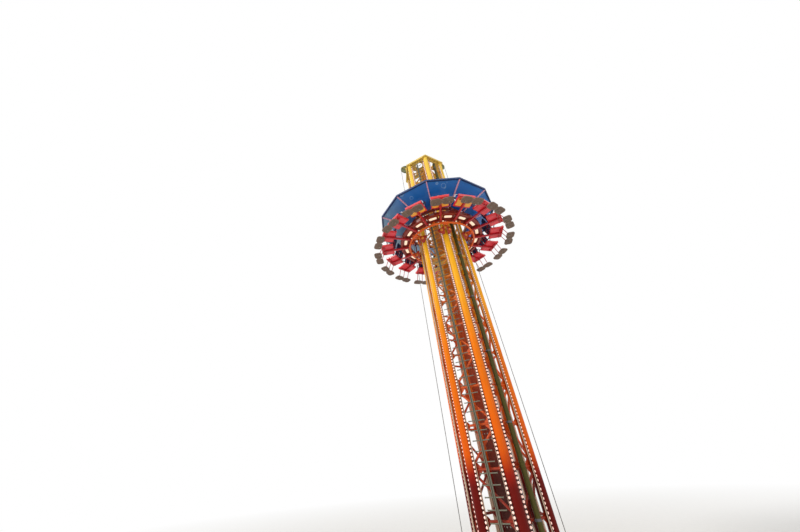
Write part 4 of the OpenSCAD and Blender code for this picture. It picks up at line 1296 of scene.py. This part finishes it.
def buildFootTrim(spec):
    middle, top = spec["start"] + spec["depth"] / 2, gondola["footTop"]
    under, lobe, hanger = top - spec["thickness"], spec["lobe"], spec["start"] + spec["hangerIn"]
    shape = bmesh.new()
    for i in range(spec["slats"]):
        x = (i - (spec["slats"] - 1) / 2) * spec["slatStep"]
        for side in (-1, 1):
            length = spec["slatLength"] if abs(x) < 0.12 else spec["shortSlat"]
            loop = squareLoop(spec["slatWidth"], length, 8, 16)
            levels = [(loop, -0.001), (loop, 0.003), ([(a * 0.7, b * 0.98) for a, b in loop], 0.0045)]
            addLoft(shape, at(0, middle + x, side * lobe, top), levels)
    for side in (-1, 1):
        place = at(0, middle, side * 0.2515, (top + under) / 2)
        loop = squareLoop(spec["depth"] - 0.05, spec["length"] * 0.47 - 0.05, 4, 40)
        hole = [(a * 0.94, b * 0.94) for a, b in loop]
        addLoft(shape, place, [(loop, 0.0), (loop, 0.0158), (hole, 0.0162)])
    copyRound("footTreads", shape, "gondola", "rubberBlack", seats)
    shape, rib = bmesh.new(), under - 0.003
    for side in (-1, 1):
        for x in spec["ribs"]:
            addBox(shape, at(0, middle + x, side * lobe, rib), (0.02, spec["slatLength"], 0.012))
        for y in spec["crossRibs"]:
            addBox(shape, at(0, middle, side * y, rib), (0.26, 0.02, 0.012))
        addBox(shape, at(0, hanger, side * spec["hangerSide"], under - 0.005), (0.08, 0.08, 0.01), 0.002)
    addBox(shape, at(0, middle, 0, rib), (0.2, 0.12, 0.01))
    copyRound("footRibs", shape, "gondola", "foot_brown", seats)
    spots = []
    for seat in range(seats):
        for side in (-1, 0, 1):
            place = at(seatTurn * seat, hanger, side * spec["hangerSide"], under - 0.009)
            spots.append(spot(place, (0, 0, -1)))
    boltsOn("footNuts", "gondola", 0.022, spots)


buildFootTrim(footTrim)
print("carriage and seats dressed")


# Canopy: cover strips on top, bolts above and below the ribs, post flanges, rim beads and upper ring edges
canopyTrim = {"apex": 12.6, "slope": 0.298, "start": 1.55, "end": 2.975, "corner": 3.02, "rimTop": 13.536,
              "crossStrips": (1.62, 2.25, 2.88), "ribBolts": 7, "boltStart": 1.66, "boltStep": 0.2,
              "upperRing": 1.4903, "upperEdges": (13.088, 12.972), "postFoot": 12.3009,
              "flange": ((0.048, 0), (0.048, 0.01), (0.04, 0.014), (0.032, 0.03)),
              "gusset": ((-0.05, 0.0), (0.05, 0.0), (0.034, -0.09), (-0.034, -0.09))}


def buildCanopyTrim(spec):
    half, slope, post = panelTurn / 2, spec["slope"], gondola["postRing"]
    flat = math.cos(math.radians(half))
    lean, panelLean = (-math.degrees(math.atan(rise)) for rise in (slope, slope / flat))
    length = (spec["end"] - spec["start"]) / math.cos(math.radians(lean))
    over = at(half, spec["start"], 0, spec["apex"] + slope * spec["start"] + 0.0212, lean)
    shape = bmesh.new()
    addBox(shape, over @ Matrix.Translation((length / 2, 0, 0.004)), (length, 0.07, 0.008))
    addBox(shape, over @ Matrix.Translation((length / 2, 0, 0.012)), (length, 0.022, 0.012), 0.004)
    for r in spec["crossStrips"]:
        wide = 2 * r * math.tan(math.radians(half)) - 0.09
        place = at(0, r, 0, spec["apex"] + slope * r / flat + 0.0215, panelLean)
        addBox(shape, place @ Matrix.Translation((0, 0, 0.004)), (0.03, wide, 0.012), 0.004)
    copyRound("canopyStrips", shape, "gondola", "rim_navy", panels)
    spots = []
    for rib in range(panels):
        for i in range(spec["ribBolts"]):
            r = spec["boltStart"] + i * spec["boltStep"]
            for above, up in ((-0.0522, -1), (0.0395, 1)):
                place = at(half + panelTurn * rib, r, 0, spec["apex"] + slope * r + above, lean)
                spots.append(spot(place, (0, 0, up)))
    boltsOn("canopyBolts", "gondola", 0.016, spots)
    shape = bmesh.new()
    addTurned(shape, at(half, post, 0, spec["postFoot"]), spec["flange"], 24)
    high = spec["apex"] + slope * post - 0.062
    addBox(shape, at(half, post, 0, high - 0.012, lean), (0.12, 0.09, 0.012), 0.002)
    for side in (-1, 1):
        addPlate(shape, at(half, post, side * 0.031, high - 0.01, lean) @ upright, spec["gusset"], 0.008)
    copyRound("postFlanges", shape, "gondola", "carriage_maroon", panels)
    shape, rimTop = bmesh.new(), spec["rimTop"]
    side, edge = spec["corner"] * flat, 2 * spec["corner"] * math.sin(math.radians(half))
    for z, size in ((rimTop - 0.004, 0.012), (rimTop - 0.086, 0.014)):
        addBox(shape, at(0, side - 0.004, 0, z), (0.012, edge - 0.006, size))
    addBox(shape, at(0, side - 0.05, 0, rimTop - 0.09), (0.04, edge - 0.04, 0.006), 0.001)
    copyRound("rimBeads", shape, "gondola", "rim_navy", panels)
    shape = bmesh.new()
    for z in spec["upperEdges"]:
        addHoop(shape, spec["upperRing"], z, squareLoop(0.075, 0.01, 6, 12))
    plainPiece("upperRingEdges", shape, "gondola", "carriage_maroon")


buildCanopyTrim(canopyTrim)
print("canopy dressed")


# Plain pale studio: a floor, a white world for the camera, one soft key and one soft fill
studio = {
    "floorHalf": 300.0,
    "floorColour": (232, 230, 226),
    "speckColour": (200, 198, 194),
    "fadeStart": 14.0,
    "fadeEnd": 40.0,
    "worldLight": 0.68,
    "keyLight": {"strength": 1.6, "turn": (58, 0, -34), "spread": 14},
    "fillLight": {"strength": 0.6, "turn": (72, 0, 66), "spread": 50},
}


def buildFloor(spec):
    tree = startMaterial("studioFloor")
    shader = tree.nodes["Principled BSDF"]
    floor = layer(tree, spec["floorColour"], spec["speckColour"], cloud(tree, 3.0, 6.0), 0.3, 0.7, 0.1)
    setSockets(tree, shader, {"Base Color": floor, "Roughness": 0.8})
    ray = addNode(tree, "ShaderNodeLightPath").outputs["Is Camera Ray"]
    far = fade(tree, distanceOf(tree), spec["fadeStart"], spec["fadeEnd"])
    white = addNode(tree, "ShaderNodeEmission", {"Color": (1, 1, 1, 1), "Strength": 1.0}).outputs[0]
    shares = {0: maths(tree, "MULTIPLY", ray, far), 1: shader.outputs[0], 2: white}
    surface = addNode(tree, "ShaderNodeMixShader", shares).outputs[0]
    setSockets(tree, tree.nodes["Material Output"], {"Surface": surface})
    half, mesh = spec["floorHalf"], bpy.data.meshes.new("studioFloor")
    corners = [(-half, -half, 0), (half, -half, 0), (half, half, 0), (-half, half, 0)]
    mesh.from_pydata(corners, [], [(0, 1, 2, 3)])
    mesh.materials.append(finishes["studioFloor"])
    sheet = newObject("studioFloor", mesh)
    sheet.location.z = -0.002


def buildWorld(spec):  # white where the camera, gloss or glass looks at it, and weaker as a light
    world = bpy.data.worlds.new("studioWorld")
    world.use_nodes = True
    bpy.context.scene.world = world
    tree = world.node_tree
    path = addNode(tree, "ShaderNodeLightPath").outputs
    seen = maths(tree, "MAXIMUM", path["Is Glossy Ray"], path["Is Transmission Ray"])
    seen = maths(tree, "MAXIMUM", path["Is Camera Ray"], seen)
    strength = fade(tree, seen, 0, 1, spec["worldLight"], 1.0)
    setSockets(tree, tree.nodes["Background"], {"Color": (1, 1, 1, 1), "Strength": strength})


def buildLights(spec):
    for name in ("keyLight", "fillLight"):
        lamp = bpy.data.lights.new(name, "SUN")
        lamp.energy = spec[name]["strength"]
        lamp.angle = math.radians(spec[name]["spread"])
        newObject(name, lamp).rotation_euler = [math.radians(a) for a in spec[name]["turn"]]


buildFloor(studio)
buildWorld(studio)
buildLights(studio)
bpy.context.scene.view_settings.view_transform = "Standard"
print("studio built")
